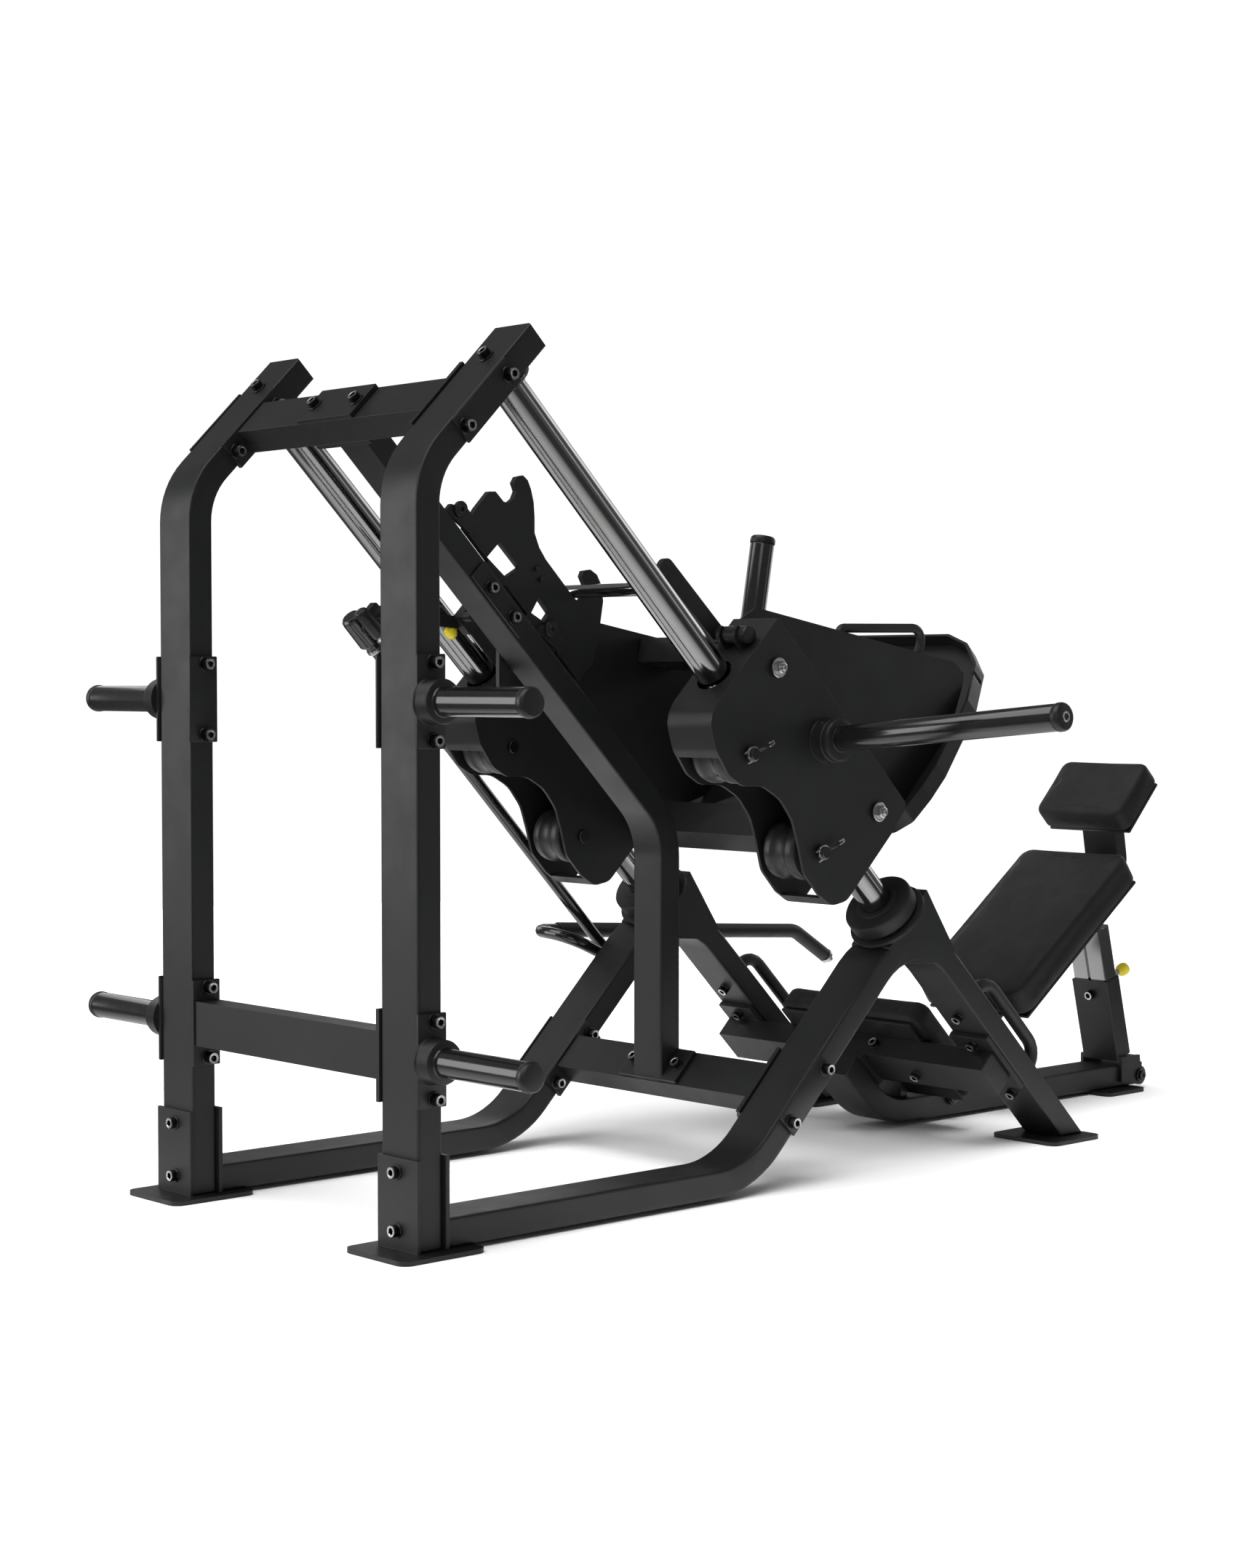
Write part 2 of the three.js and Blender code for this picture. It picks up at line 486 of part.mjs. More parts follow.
const STRUT_K = 348.3;                                // strut length to its top pivot
function backFrame() {
  const pivot = BACK_PIVOT, top = kw(STRUT_K, 0);
  const cheek = side => slab(rounded([[pivot[0] - 24, pivot[1] - 20], [pivot[0] + 22, pivot[1] - 22], sh(90, 8),
    sh(90, 40), sh(20, 40)], [20, 20, 3, 3, 12], 4), ...onSide(side, 50.6, 58.6));
  const lug = side => slab([...arcPoints(top[0], top[1], 17, -2.6, -0.1, 8), sh(650, 10), sh(612, 10)],
    ...onSide(side, 22, 30));
  return join(slab([sh(44, 4), sh(687, 4), sh(687, 43), sh(44, 43)], -30, 30, 3),
    slab([sh(46, 8), sh(86, 8), sh(86, 40), sh(46, 40)], -58, 58), cheek(1), cheek(-1),
    slab([sh(214, 42), sh(678, 42), sh(678, 48), sh(214, 48)], -138, 138), lug(1), lug(-1),
    rod([top[0], -29, top[1]], [0, 1, 0], 7, 58, 18));
}

function headBracket() {
  const c = Math.cos(HEAD_ANGLE), s = Math.sin(HEAD_ANGLE);
  const at = (e, f) => [HEAD_FOOT[0] + e * c - f * s, HEAD_FOOT[1] + e * s + f * c];
  return join(slab(bar([sh(687.5, 23), sh(756, 23), at(70, -4)], [34], 17, [null, [c, s]], 6), -48, 48, 3),
    slab([at(10, -6.4), at(156, -6.4), at(156, -0.4), at(10, -0.4)], -112, 112));
}

// lower half of the back strut: post, top plate and two cheeks on the pivot
function strutOuter() {
  const [px, pz] = STRUT_PIVOT;
  const post = slab([kw(8, -25), kw(199, -25), kw(199, 25), kw(12, 25)], -50, 50, 3);
  const bore = slab([kw(20, -21), kw(230, -21), kw(230, 21), kw(20, 21)], -46, 46);
  const cheek = side => slab([[2276, 20], ...arcPoints(px, pz, 22, -2.2, 1.5, 10), [px, 77], [2276, 77]],
    ...onSide(side, 50.7, 58.7));
  return join(cut(join(post, box(2276, 2336, -58, 58, 69, 77)), bore), cheek(1), cheek(-1));
}

function strutInner() {
  const top = kw(STRUT_K, 0);
  const tube = slab([kw(77, -20.4), kw(322, -20.4), kw(322, 20.4), kw(77, 20.4)], -45.4, 45.4, 4);
  const slot = slab([kw(50, -30), kw(300, -30), kw(300, -16), kw(50, -16)], -4, 4);
  const eye = slab([...arcPoints(top[0], top[1], 16, -0.2, Math.PI + 0.6, 10), kw(318, -18), kw(318, 18)], -19, 19);
  return cut(join(cut(tube, slot), eye), rod([top[0], -40, top[1]], [0, 1, 0], 9.5, 80, 20));
}

function strutPin() {
  const [x, z] = kw(188, 25.4), dir = [STRUT_DIR[1], 0, -STRUT_DIR[0]];
  return turned([[0, 0], [9, 0], [9, 36], [7, 38], [7, 44], [11, 49], [15, 62], [15, 72], [11, 79], [0, 81]],
    [x, -8, z], dir, 22);
}

// ---- assembly ----
const group = new THREE.Group();
const PAINT = [0x3a3b3d, 0.5, 0.35], GLOSS = [0x2c2d2f, 0.6, 0.2], CHROME = [0xd9dadb, 1, 0.12];
const RUBBER = [0x161616, 0, 0.75], VINYL = [0x2a2a2b, 0, 0.6], YELLOW = [0xe6cf2e, 0, 0.4];
const ZINC = [0xb9bcc0, 1, 0.35];
function add(name, geometry, [color, metalness, roughness]) {
  const mesh = new THREE.Mesh(tidy(geometry).translate(-ORIGIN_X, 0, 0),
    new THREE.MeshStandardMaterial({ name: `${name}_mat`, color, metalness, roughness, flatShading: true }));
  mesh.name = name;
  group.add(mesh);
}

for (const [side, tag] of [[-1, 'near'], [1, 'far']]) {
  add(`rear_upright_${tag}`, rearUpright(side), PAINT);
  add(`rear_foot_${tag}`, rearFoot(side), PAINT);
  add(`side_base_${tag}`, sideBase(side), PAINT);
  add(`front_foot_${tag}`, frontFoot(side), PAINT);
  add(`top_clamp_plate_${tag}`, clampPlate(side, TOP_T, TOP_N), PAINT);
  add(`storage_horn_upper_${tag}`, storageHorn(side, 903), GLOSS);
  add(`storage_horn_lower_${tag}`, storageHorn(side, 321), GLOSS);
  add(`rail_${tag}`, rail(side), CHROME);
  add(`bumper_${tag}`, bumper(side), RUBBER);
  add(`seat_handle_${tag}`, seatHandle(side), RUBBER);
  add(`housing_${tag}`, housing(side), PAINT);
  add(`weight_horn_${tag}`, weightHorn(side), GLOSS);
  ROLLERS.forEach(([t, n], i) => add(`roller_${tag}_${i + 1}`, roller(side, t, n), RUBBER));
}
add('top_crossbeam', topCrossbeam(), PAINT);
add('saddle_plate', saddlePlate(), PAINT);
add('centre_beam', centreBeam(), PAINT);
add('lower_crossbeam', lowerCrossbeam(), PAINT);
add('mid_crossbeam', midCrossbeam(), PAINT);
add('front_crossbeam', frontCrossbeam(), PAINT);
add('seat_spine', spine(), PAINT);
add('seat_rear_foot', rearSeatFoot(), PAINT);
add('seat_plate', seatPlate(), PAINT);
add('hook_plate', hookPlate(), PAINT);
add('release_arm', releaseArm(), PAINT);
add('release_rod', releaseRod(), GLOSS);
add('release_lever', lever(), GLOSS);
add('platform', platform(), PAINT);
add('carriage_beam', carriageBeam(), PAINT);
add('lower_carriage_beam', lowerCarriageBeam(), PAINT);
add('centre_horn', centreHorn(), GLOSS);
add('grip_loop', gripLoop(), RUBBER);
add('catch_frame', catchFrame(), PAINT);
add('catch_bar', catchBar(), CHROME);
add('back_frame', backFrame(), PAINT);
add('head_bracket', headBracket(), PAINT);
add('strut_outer', strutOuter(), PAINT);
add('strut_inner', strutInner(), CHROME);
add('strut_pin', strutPin(), YELLOW);
add('seat_pad', seatPad(), VINYL);
add('back_pad', backPad(), VINYL);
add('head_pad', headPad(), VINYL);

export default group;
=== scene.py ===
import math

import bmesh
import bpy
import numpy as np
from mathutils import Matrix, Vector


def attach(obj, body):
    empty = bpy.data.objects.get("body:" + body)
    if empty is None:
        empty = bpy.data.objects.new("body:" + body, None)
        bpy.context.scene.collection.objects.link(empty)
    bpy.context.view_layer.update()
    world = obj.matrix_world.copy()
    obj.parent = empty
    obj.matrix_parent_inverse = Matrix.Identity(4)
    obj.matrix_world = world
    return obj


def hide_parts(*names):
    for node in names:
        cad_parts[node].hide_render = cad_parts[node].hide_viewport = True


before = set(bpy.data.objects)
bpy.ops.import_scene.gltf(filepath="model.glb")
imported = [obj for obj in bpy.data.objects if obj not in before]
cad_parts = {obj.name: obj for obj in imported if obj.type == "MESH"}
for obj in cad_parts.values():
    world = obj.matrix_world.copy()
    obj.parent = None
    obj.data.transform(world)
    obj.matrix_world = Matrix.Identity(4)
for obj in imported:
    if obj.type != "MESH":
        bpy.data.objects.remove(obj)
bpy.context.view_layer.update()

SIDES = ((-1, "near"), (1, "far"))
RAIL_Y = 330                                    # each rail's distance from the middle
R2 = math.sqrt(2)
BACK_ANGLE = math.radians(36)
COS36, SIN36 = math.cos(BACK_ANGLE), math.sin(BACK_ANGLE)


# ---- frames: millimetres as in the CAD source, X from the rear uprights ----
ORIGIN_X = 1154                                 # middle of the footprint
RAIL_ORIGIN = 830.5                             # x and z of the rail frame's zero


def mm(x, y, z):
    return Vector(((x - ORIGIN_X) / 1000, y / 1000, z / 1000))


def tn(t, n, y=0):
    """Rail frame: t down the slope, n away from the rails."""
    return mm(RAIL_ORIGIN + (n + t) / R2, y, RAIL_ORIGIN + (n - t) / R2)


def kw(k, w, y=0):
    """Strut frame: k up the strut, w towards +X."""
    return mm(2300 - k * 0.2413 + w * 0.9704, y, 65 + k * 0.9704 + w * 0.2413)


def sh(s, h, y=0):
    """Back pad frame: s up the back, h off its rear face."""
    return mm(1694 + s * COS36 - h * SIN36, y, 51 + s * SIN36 + h * COS36)


X, Y, Z = Vector((1, 0, 0)), Vector((0, 1, 0)), Vector((0, 0, 1))
DOWN, OUT = Vector((1, 0, -1)).normalized(), Vector((1, 0, 1)).normalized()
STRUT_OUT = Vector((0.9704, 0, 0.2413))


# ---- materials ----
class Look:
    """A node material under construction."""

    def __init__(self, name):
        self.mat = bpy.data.materials.new(name)
        self.mat.use_nodes = True
        self.tree = self.mat.node_tree
        self.bsdf = next(n for n in self.tree.nodes if n.type == "BSDF_PRINCIPLED")
        self.coord = self.add("ShaderNodeTexCoord").outputs["Object"]

    def add(self, kind, **values):
        node = self.tree.nodes.new(kind)
        for key, value in values.items():
            if hasattr(node, key) and key not in node.inputs:
                setattr(node, key, value)
            else:
                self.put(node.inputs[key], value)
        return node

    def put(self, socket, value):
        if isinstance(value, bpy.types.NodeSocket):
            self.tree.links.new(value, socket)
        else:
            socket.default_value = value

    def set(self, **values):
        for key, value in values.items():
            self.put(self.bsdf.inputs[key.replace("_", " ")], value)
        return self

    def noise(self, scale, detail=3.0, rough=0.55):
        return self.add("ShaderNodeTexNoise", Vector=self.coord, Scale=scale, Detail=detail,
                        Roughness=rough).outputs["Fac"]

    def cells(self, scale):
        return self.add("ShaderNodeTexVoronoi", Vector=self.coord, Scale=scale).outputs["Distance"]

    def remap(self, value, a, b, c, d):
        node = self.add("ShaderNodeMapRange")
        node.inputs["Value"].default_value = 0
        self.put(node.inputs["Value"], value)
        for key, v in zip(("From Min", "From Max", "To Min", "To Max"), (a, b, c, d)):
            node.inputs[key].default_value = v
        return node.outputs["Result"]

    def maths(self, op, a, b=0.0):
        node = self.add("ShaderNodeMath", operation=op)
        self.put(node.inputs[0], a)
        self.put(node.inputs[1], b)
        return node.outputs[0]

    def blend(self, fac, a, b):
        node = self.add("ShaderNodeMix", data_type="RGBA")
        self.put(node.inputs[0], fac)
        self.put(node.inputs[6], a)
        self.put(node.inputs[7], b)
        return node.outputs[2]

    def bump(self, height, strength, distance, normal=None):
        node = self.add("ShaderNodeBump", Height=height, Strength=strength, Distance=distance)
        if normal is not None:
            self.put(node.inputs["Normal"], normal)
        return node.outputs["Normal"]

    def edges(self, radius):
        """(rounded normal, 0..1 mask of convex and concave edges)."""
        rounded = self.add("ShaderNodeBevel", samples=4, Radius=radius).outputs["Normal"]
        flat = self.add("ShaderNodeNewGeometry").outputs["Normal"]
        dot = self.add("ShaderNodeVectorMath", operation="DOT_PRODUCT")
        self.put(dot.inputs[0], rounded)
        self.put(dot.inputs[1], flat)
        return rounded, self.remap(dot.outputs["Value"], 0.995, 0.86, 0.0, 1.0)


def rgb(v, tint=(1, 1, 1)):
    return (v * tint[0], v * tint[1], v * tint[2], 1)


COOL = (0.97, 1.0, 1.04)


def powder(name, dark, light, rough, grain=1.0, shine=0.42):
    """Satin powder coat: fine orange peel, soft mottling, edges painted a little lighter as a highlight."""
    m = Look(name)
    normal, edge = m.edges(0.0016)
    mottled = m.remap(m.noise(5, 4), 0.3, 0.7, 0, 1)
    speck = m.remap(m.noise(1400, 1), 0.45, 0.75, 0, 0.35)
    tone = m.maths("ADD", m.maths("MULTIPLY", mottled, 0.45), speck)
    # painted highlight: the colour turns lighter along convex and concave edges, broken up by noise; the
    # roughness drops a little there too
    edge_highlight_mask = m.maths("MULTIPLY", edge, m.remap(m.noise(38, 5, 0.7), 0.35, 0.7, 0.15, 1.0))
    colour = m.blend(tone, rgb(dark, COOL), rgb(light, COOL))
    m.set(Base_Color=m.blend(m.maths("MULTIPLY", edge_highlight_mask, 0.55), colour, rgb(light * 3.2, COOL)))
    smudge = m.remap(m.noise(11, 5, 0.65), 0.3, 0.75, rough - 0.05, rough + 0.09)
    m.set(Roughness=m.maths("SUBTRACT", smudge, m.maths("MULTIPLY", edge_highlight_mask, 0.1)))
    m.set(Normal=m.bump(m.noise(620, 2), 0.07 * grain, 0.0005, normal))
    m.bsdf.inputs["Specular IOR Level"].default_value = shine
    return m.mat


def metal(name, base, rough, scuff=0.5, grain=0.05):
    """Bare or plated metal: faint drawing lines, smears in the polish, fine scratches."""
    m = Look(name)
    lines = m.noise(260, 4, 0.6)
    smear = m.noise(9, 5, 0.65)
    m.set(Base_Color=m.blend(m.remap(smear, 0.3, 0.75, 0, scuff), rgb(base),
                             rgb(base * 0.72, (1.03, 1, 0.95))))
    r = m.maths("ADD", m.remap(smear, 0.3, 0.75, rough * 0.75, rough * 1.6),
                m.remap(lines, 0.35, 0.7, 0, rough * 0.15))
    m.set(Roughness=r, Normal=m.bump(lines, grain, 0.0002))
    m.bsdf.inputs["Metallic"].default_value = 1.0
    return m.mat


def moulded(name, base, rough, grain, scale):
    """Rubber or moulded plastic: fine grain, dust in the hollows, edges painted lighter as a highlight."""
    m = Look(name)
    normal, edge = m.edges(0.0012)
    dust = m.remap(m.noise(17, 5, 0.65), 0.35, 0.8, 0, 0.5)
    colour = m.blend(dust, base, tuple(min(1, c * 1.5 + 0.004) for c in base[:3]) + (1,))
    # painted highlight: the colour turns lighter along convex and concave edges
    m.set(Base_Color=m.blend(m.maths("MULTIPLY", edge, 0.4), colour,
                             tuple(min(1, c * 1.8 + 0.012) for c in base[:3]) + (1,)))
    m.set(Roughness=m.remap(m.noise(26, 4), 0.3, 0.75, rough - 0.07, rough + 0.09))
    m.set(Normal=m.bump(m.noise(scale, 2), grain, 0.0007, normal))
    return m.mat


def leatherette(name):
    """Black upholstery vinyl: pebbled grain, finer pores, polished and dusty patches, soft creases."""
    m = Look(name)
    pebble = m.cells(640)
    pores = m.noise(1500, 2)
    crease = m.noise(26, 4, 0.6)
    patches = m.remap(m.noise(7, 5, 0.6), 0.3, 0.75, 0, 1)
    m.set(Base_Color=m.blend(patches, rgb(0.0065, COOL), rgb(0.0105, COOL)))
    rough = m.remap(m.noise(13, 5, 0.6), 0.3, 0.75, 0.47, 0.62)
    m.set(Roughness=m.maths("ADD", rough, m.maths("MULTIPLY", pebble, 0.12)))
    normal = m.bump(crease, 0.10, 0.004)
    normal = m.bump(pebble, 0.42, 0.0009, normal)
    m.set(Normal=m.bump(pores, 0.18, 0.0003, normal))
    m.bsdf.inputs["Sheen Weight"].default_value = 0.03
    m.bsdf.inputs["Specular IOR Level"].default_value = 0.4
    m.bsdf.inputs["Sheen Roughness"].default_value = 0.4
    return m.mat


PAINT = powder("powder_black", 0.0115, 0.0165, 0.40)
CARRIAGE = powder("powder_carriage", 0.0105, 0.0150, 0.42)
HORN = powder("gloss_black", 0.0080, 0.0115, 0.13, 0.2, 1.0)
CHROME = metal("chrome", 0.32, 0.10, 0.4, 0.0)
ROD = metal("chrome_bar", 0.52, 0.10, 0.4, 0.004)
ZINC = metal("zinc", 0.62, 0.22, 0.8)
BLACK_ZINC = metal("black_zinc", 0.075, 0.28, 0.6)
RUBBER = moulded("rubber", (0.0085, 0.0085, 0.0090, 1), 0.62, 0.22, 420)
SLEEVE = moulded("grip_rubber", (0.0125, 0.0125, 0.0130, 1), 0.50, 0.30, 700)
ROLLER = moulded("roller_plastic", (0.020, 0.020, 0.021, 1), 0.34, 0.10, 380)
CAP = moulded("cap_plastic", (0.010, 0.010, 0.0105, 1), 0.38, 0.16, 520)
YELLOW = moulded("yellow_plastic", (0.80, 0.62, 0.015, 1), 0.30, 0.08, 300)
VINYL = leatherette("vinyl")


# ---- mesh helpers ----
def piece(name, bm, mats, body, smooth=38, replaces=()):
    bmesh.ops.remove_doubles(bm, verts=bm.verts, dist=1e-6)
    bmesh.ops.recalc_face_normals(bm, faces=bm.faces)
    mesh = bpy.data.meshes.new(name)
    bm.to_mesh(mesh)
    bm.free()
    for mat in mats if isinstance(mats, (list, tuple)) else [mats]:
        mesh.materials.append(mat)
    mesh.shade_smooth()
    mesh.set_sharp_from_angle(angle=math.radians(smooth))
    o = bpy.data.objects.new(name, mesh)
    bpy.context.scene.collection.objects.link(o)
    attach(o, body)
    if replaces:
        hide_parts(*replaces)
    return o


def spun(bm, profile, origin, axis, segs=48, mat=0, hexes=()):
    """Solid of revolution, profile [(radius, height)] in mm; the points in `hexes` are drawn as a hexagon."""
    axis = axis.normalized()
    u = axis.cross(Y if abs(axis.y) < 0.9 else X).normalized()
    w = axis.cross(u)
    rings = []
    for k, (r, h) in enumerate(profile):
        centre = origin + axis * (h / 1000)
        if r < 1e-6:
            rings.append([bm.verts.new(centre)])
            continue
        ring = []
        for i in range(segs):
            a = 2 * math.pi * i / segs
            q = r / 1000
            if k in hexes:
                q /= math.cos((a % (math.pi / 3)) - math.pi / 6)
            ring.append(bm.verts.new(centre + (u * math.cos(a) + w * math.sin(a)) * q))
        rings.append(ring)
    for a, b in zip(rings, rings[1:]):
        for i in range(segs):
            j = (i + 1) % segs
            if len(a) == 1 and len(b) == 1:
                continue
            if len(a) == 1:
                face = (a[0], b[i], b[j])
            elif len(b) == 1:
                face = (a[i], a[j], b[0])
            else:
                face = (a[i], a[j], b[j], b[i])
            bm.faces.new(face).material_index = mat
    return bm


def prism(bm, low, high, mat=0):
    """Closed solid between two outlines of equally many points."""
    a = [bm.verts.new(p) for p in low]
    b = [bm.verts.new(p) for p in high]
    n = len(a)
    faces = [bm.faces.new(a), bm.faces.new(b)]
    faces += [bm.faces.new((a[i], a[(i + 1) % n], b[(i + 1) % n], b[i])) for i in range(n)]
    for f in faces:
        f.material_index = mat


def rounded_box(bm, origin, ex, ey, ez, size, r, mat=0, segs=3):
    """Box of `size` mm about its centre: edges along ez rounded by r, top edge chamfered."""
    a, b, c = (s / 2000 for s in size)
    r /= 1000
    outline = []
    for sx, sy, start in ((1, 1, 0), (-1, 1, 90), (-1, -1, 180), (1, -1, 270)):
        for i in range(segs + 1):
            q = math.radians(start + 90 * i / segs)
            outline.append((sx * (a - r) + r * math.cos(q), sy * (b - r) + r * math.sin(q)))
    chamfer = min(0.0008, c / 2)
    levels = []
    for h, k in ((-c, 1 - chamfer / a), (-c + chamfer, 1), (c - chamfer, 1), (c, 1 - chamfer / a)):
        levels.append([bm.verts.new(origin + ex * x * k + ey * y * k + ez * h) for x, y in outline])
    n = len(outline)
    for lo, hi in zip(levels, levels[1:]):
        for i in range(n):
            bm.faces.new((lo[i], lo[(i + 1) % n], hi[(i + 1) % n], hi[i])).material_index = mat
    for ring in (levels[0], levels[-1]):
        bm.faces.new(ring).material_index = mat


def swept(bm, points, r, segs=14, mat=0):
    """Round bar of radius r mm along a smooth list of points, closed at both ends."""
    points = [p.copy() for p in points]
    last = len(points) - 1
    tangents = [(points[min(i + 1, last)] - points[max(i - 1, 0)]).normalized() for i in range(last + 1)]
    u = tangents[0].orthogonal().normalized()
    rings = []
    for p, t in zip(points, tangents):
        u = (u - t * u.dot(t)).normalized()
        w = t.cross(u)
        rings.append([bm.verts.new(p + (u * math.cos(a) + w * math.sin(a)) * r / 1000)
                      for a in (2 * math.pi * i / segs for i in range(segs))])
    for a, b in zip(rings, rings[1:]):
        for i in range(segs):
            bm.faces.new((a[i], a[(i + 1) % segs], b[(i + 1) % segs], b[i])).material_index = mat
    for ring in (rings[0], rings[-1]):
        bm.faces.new(ring).material_index = mat


def bent(corners, radius, step=8):
    """Corners joined by straight runs with arcs of `radius` mm at the bends."""
    out = [corners[0]]
    for a, b, c in zip(corners, corners[1:], corners[2:]):
        d1, d2 = (a - b).normalized(), (c - b).normalized()
        angle = d1.angle(d2)
        cut = min(radius / 1000 / math.tan(angle / 2), (a - b).length * 0.49, (c - b).length * 0.49)
        centre = b + (d1 + d2).normalized() * (cut / math.cos(angle / 2))
        p, q = b + d1 * cut, b + d2 * cut
        for i in range(step + 1):
            out.append(centre + (p - centre).slerp(q - centre, i / step) * (p - centre).length)
    out.append(corners[-1])
    return out


# ---- fasteners ----
def cap_screw(bm, pos, axis, washer=14.0, proud=17.0):
    """Socket head cap screw on a washer: black head with a bright machined socket."""
    spun(bm, [(0, 0), (washer, 0), (washer, 1.6), (washer - 0.7, 2.4), (10.2, 2.4)], pos, axis, 32, 0)
    spun(bm, [(10.2, 2.0), (10.6, 2.8), (10.6, proud - 1.4), (9.4, proud)], pos, axis, 30, 0)
    spun(bm, [(9.4, proud), (6.4, proud), (5.2, proud - 0.5)], pos, axis, 30, 1, hexes=(2,))
    spun(bm, [(5.2, proud - 0.5), (5.1, proud - 6.5), (0, proud - 7.2)], pos, axis, 30, 0, hexes=(0, 1))


def bolts(name, body, places, **sizes):
    bm = bmesh.new()
    for pos, axis in places:
        cap_screw(bm, pos, axis, **sizes)
    return piece(name, bm, [BLACK_ZINC, ZINC], body, 30)


def hex_nut(bm, pos, axis, washer=18.5, across=10.5, bolt=6.5, reach=17.0):
    """Zinc washer, hexagon nut and the end of its bolt."""
    spun(bm, [(0, 0), (washer, 0), (washer, 1.8), (washer - 1, 2.5), (across, 2.5)], pos, axis, 40, 0)
    spun(bm, [(across, 2.4), (across, 10.5), (across - 1.6, 12.0), (bolt, 12.0)],
         pos, axis, 24, 0, hexes=(0, 1))
    spun(bm, [(bolt, 11.9), (bolt, reach - 1.2), (bolt - 1.4, reach), (2.6, reach), (2.2, reach - 3),
              (0, reach - 3)], pos, axis, 24, 0)


def clip_pin(bm, pos, axis, lean):
    """Clevis pin end with its ring and the toggle clip that leans along `lean`."""
    spun(bm, [(0, 0), (14.5, 0), (14.5, 2.4), (13.6, 3.0), (11.4, 3.0)], pos, axis, 32, 0)
    spun(bm, [(11.0, 2.8), (11.0, 11.4), (9.8, 12.6), (0, 12.6)], pos, axis, 28, 0)
    spun(bm, [(10.8, 4.0), (14.0, 4.2), (14.6, 6.0), (14.0, 7.8), (10.8, 8.0)], pos, axis, 28, 1)
    across = axis.cross(lean).normalized()
    for s in (-1, 1):
        start = pos + axis * 0.006 - lean * 0.004 + across * s * 0.0105
        swept(bm, [start, start - lean * 0.016 + across * s * -0.001], 1.7, 8, 1)
    path = bent([pos + axis * 0.006 + lean * 0.012, pos + axis * 0.012 + lean * 0.026,
                 pos + axis * 0.009 + lean * 0.050], 8)
    swept(bm, path, 2.6, 10, 0)
    rounded_box(bm, pos + axis * 0.010 + lean * 0.046, lean, across, axis, (15, 9, 3), 2.5, 1)


# frame bolts: clamps, flanges, feet
OUTER, INNER = 386, 271                         # |Y| of the clamp plates' faces
UPPER_HORN_Z, LOWER_HORN_Z = 903, 321
for side, tag in SIDES:
    out, inn = Y * side, Y * -side
    spots = []
    for dn in (-63.5, 63.5):
        for t, n in ((-886, -87.3), (516.2, -414.4)):
            spots += [(tn(t, n + dn, side * OUTER), out), (tn(t, n + dn, side * INNER), inn)]
        for z, inner in ((UPPER_HORN_Z, 274), (LOWER_HORN_Z, INNER)):
            spots += [(mm(29, side * OUTER, z + dn), out), (mm(29, side * inner, z + dn), inn)]
    bolts(f"clamp_bolts_{tag}", "frame", spots)
    bolts(f"foot_bolts_{tag}", "frame", [(mm(-6.3, side * RAIL_Y, z), -X) for z in (136, 40)],
          washer=13, proud=13)
    bolts(f"rail_bolt_{tag}", "frame", [(tn(-911.3, 0, side * RAIL_Y), -DOWN)], washer=14, proud=14)
    bolts(f"flange_bolts_{tag}", "frame",
          [(tn(t, -11.1, side * RAIL_Y), -OUT) for t in (861, 976)]
          + [(tn(t, -0.1, side * RAIL_Y), -OUT) for t in (790, 1027)], washer=11, proud=13)
    bm = bmesh.new()
    rounded_box(bm, tn(516, -414, side * 383.3), DOWN, OUT, Y, (50, 154, 5.4), 2)
    piece(f"mid_clamp_plate_{tag}", bm, PAINT, "frame")
    bm = bmesh.new()
    rounded_box(bm, mm(25, side * 276.9, 903), X, Z, Y, (58, 154, 5.4), 2)
    piece(f"horn_back_plate_{tag}", bm, PAINT, "frame")
bolts("saddle_bolts", "frame",
      [(tn(t, n, y), axis)
       for t, n, axis in ((-919.4, -87.3, -DOWN), (-852.6, -87.3, DOWN), (482.8, -414.4, -DOWN))
       for y in (-60, 60)], proud=13)
bolts("hook_bolts", "frame", [(tn(t, -90, -46), -Y) for t in (-477, -403)], proud=12)
bolts("spine_bolts", "frame", [(tn(878.4, -33, y), -DOWN) for y in (-72, 72)]
      + [(tn(925, -60.5, y), -OUT) for y in (-174, 174)], washer=11, proud=12)

bm = bmesh.new()
rounded_box(bm, tn(-444, -89.5, -43), DOWN, OUT, Y, (156, 36, 5.6), 2)
for t in (-520, -300):
    rounded_box(bm, tn(t - 42, -62.1, -14), DOWN, Y, OUT, (52, 9, 0.6), 4)
piece("beam_doubler", bm, PAINT, "frame")
bm = bmesh.new()
for t, n in ((-620, -54), (-319, -53)):
    spun(bm, [(0, 0), (14.5, 0), (14.5, 5), (13, 6.5), (8, 6.5), (7, 8), (4.5, 8), (3.8, 4), (0, 4)],
         tn(t, n + 18, -34), -Y, 36)
for t, n in ((-417, 23), (-396, 17)):
    spun(bm, [(0, 0), (4.8, 0), (4.8, 6), (4, 7), (0, 7)], tn(t, n, -26), -Y, 24)
piece("hook_bosses", bm, PAINT, "release")


# ---- turned pieces ----
def lathe_piece(name, profile, origin, axis, mat, body, node=None, segs=64):
    bm = spun(bmesh.new(), profile, origin, axis, segs)
    return piece(name, bm, mat, body, 32, [node] if node else ())


HORN_TIP = [(23.4, -1.0), (24.6, 0.4), (25.2, 2.0), (25.2, 8.5), (24.2, 12.0), (21.5, 14.6), (16.5, 15.6),
            (0, 15.8)]


def cap(name, origin, axis, body):
    lathe_piece(name, [(0, -1)] + HORN_TIP, origin, axis, CAP, body, None, 48)


def horn_boss(r, h):
    """Profile of a horn's boss: weld fillet at the root, rounded front edge."""
    return [(0, 0), (r + 2.5, 0), (r + 2.4, 1.6), (r + 0.9, 3.2), (r, 5), (r, h - 4), (r - 1.2, h - 1.2),
            (r - 4, h)]


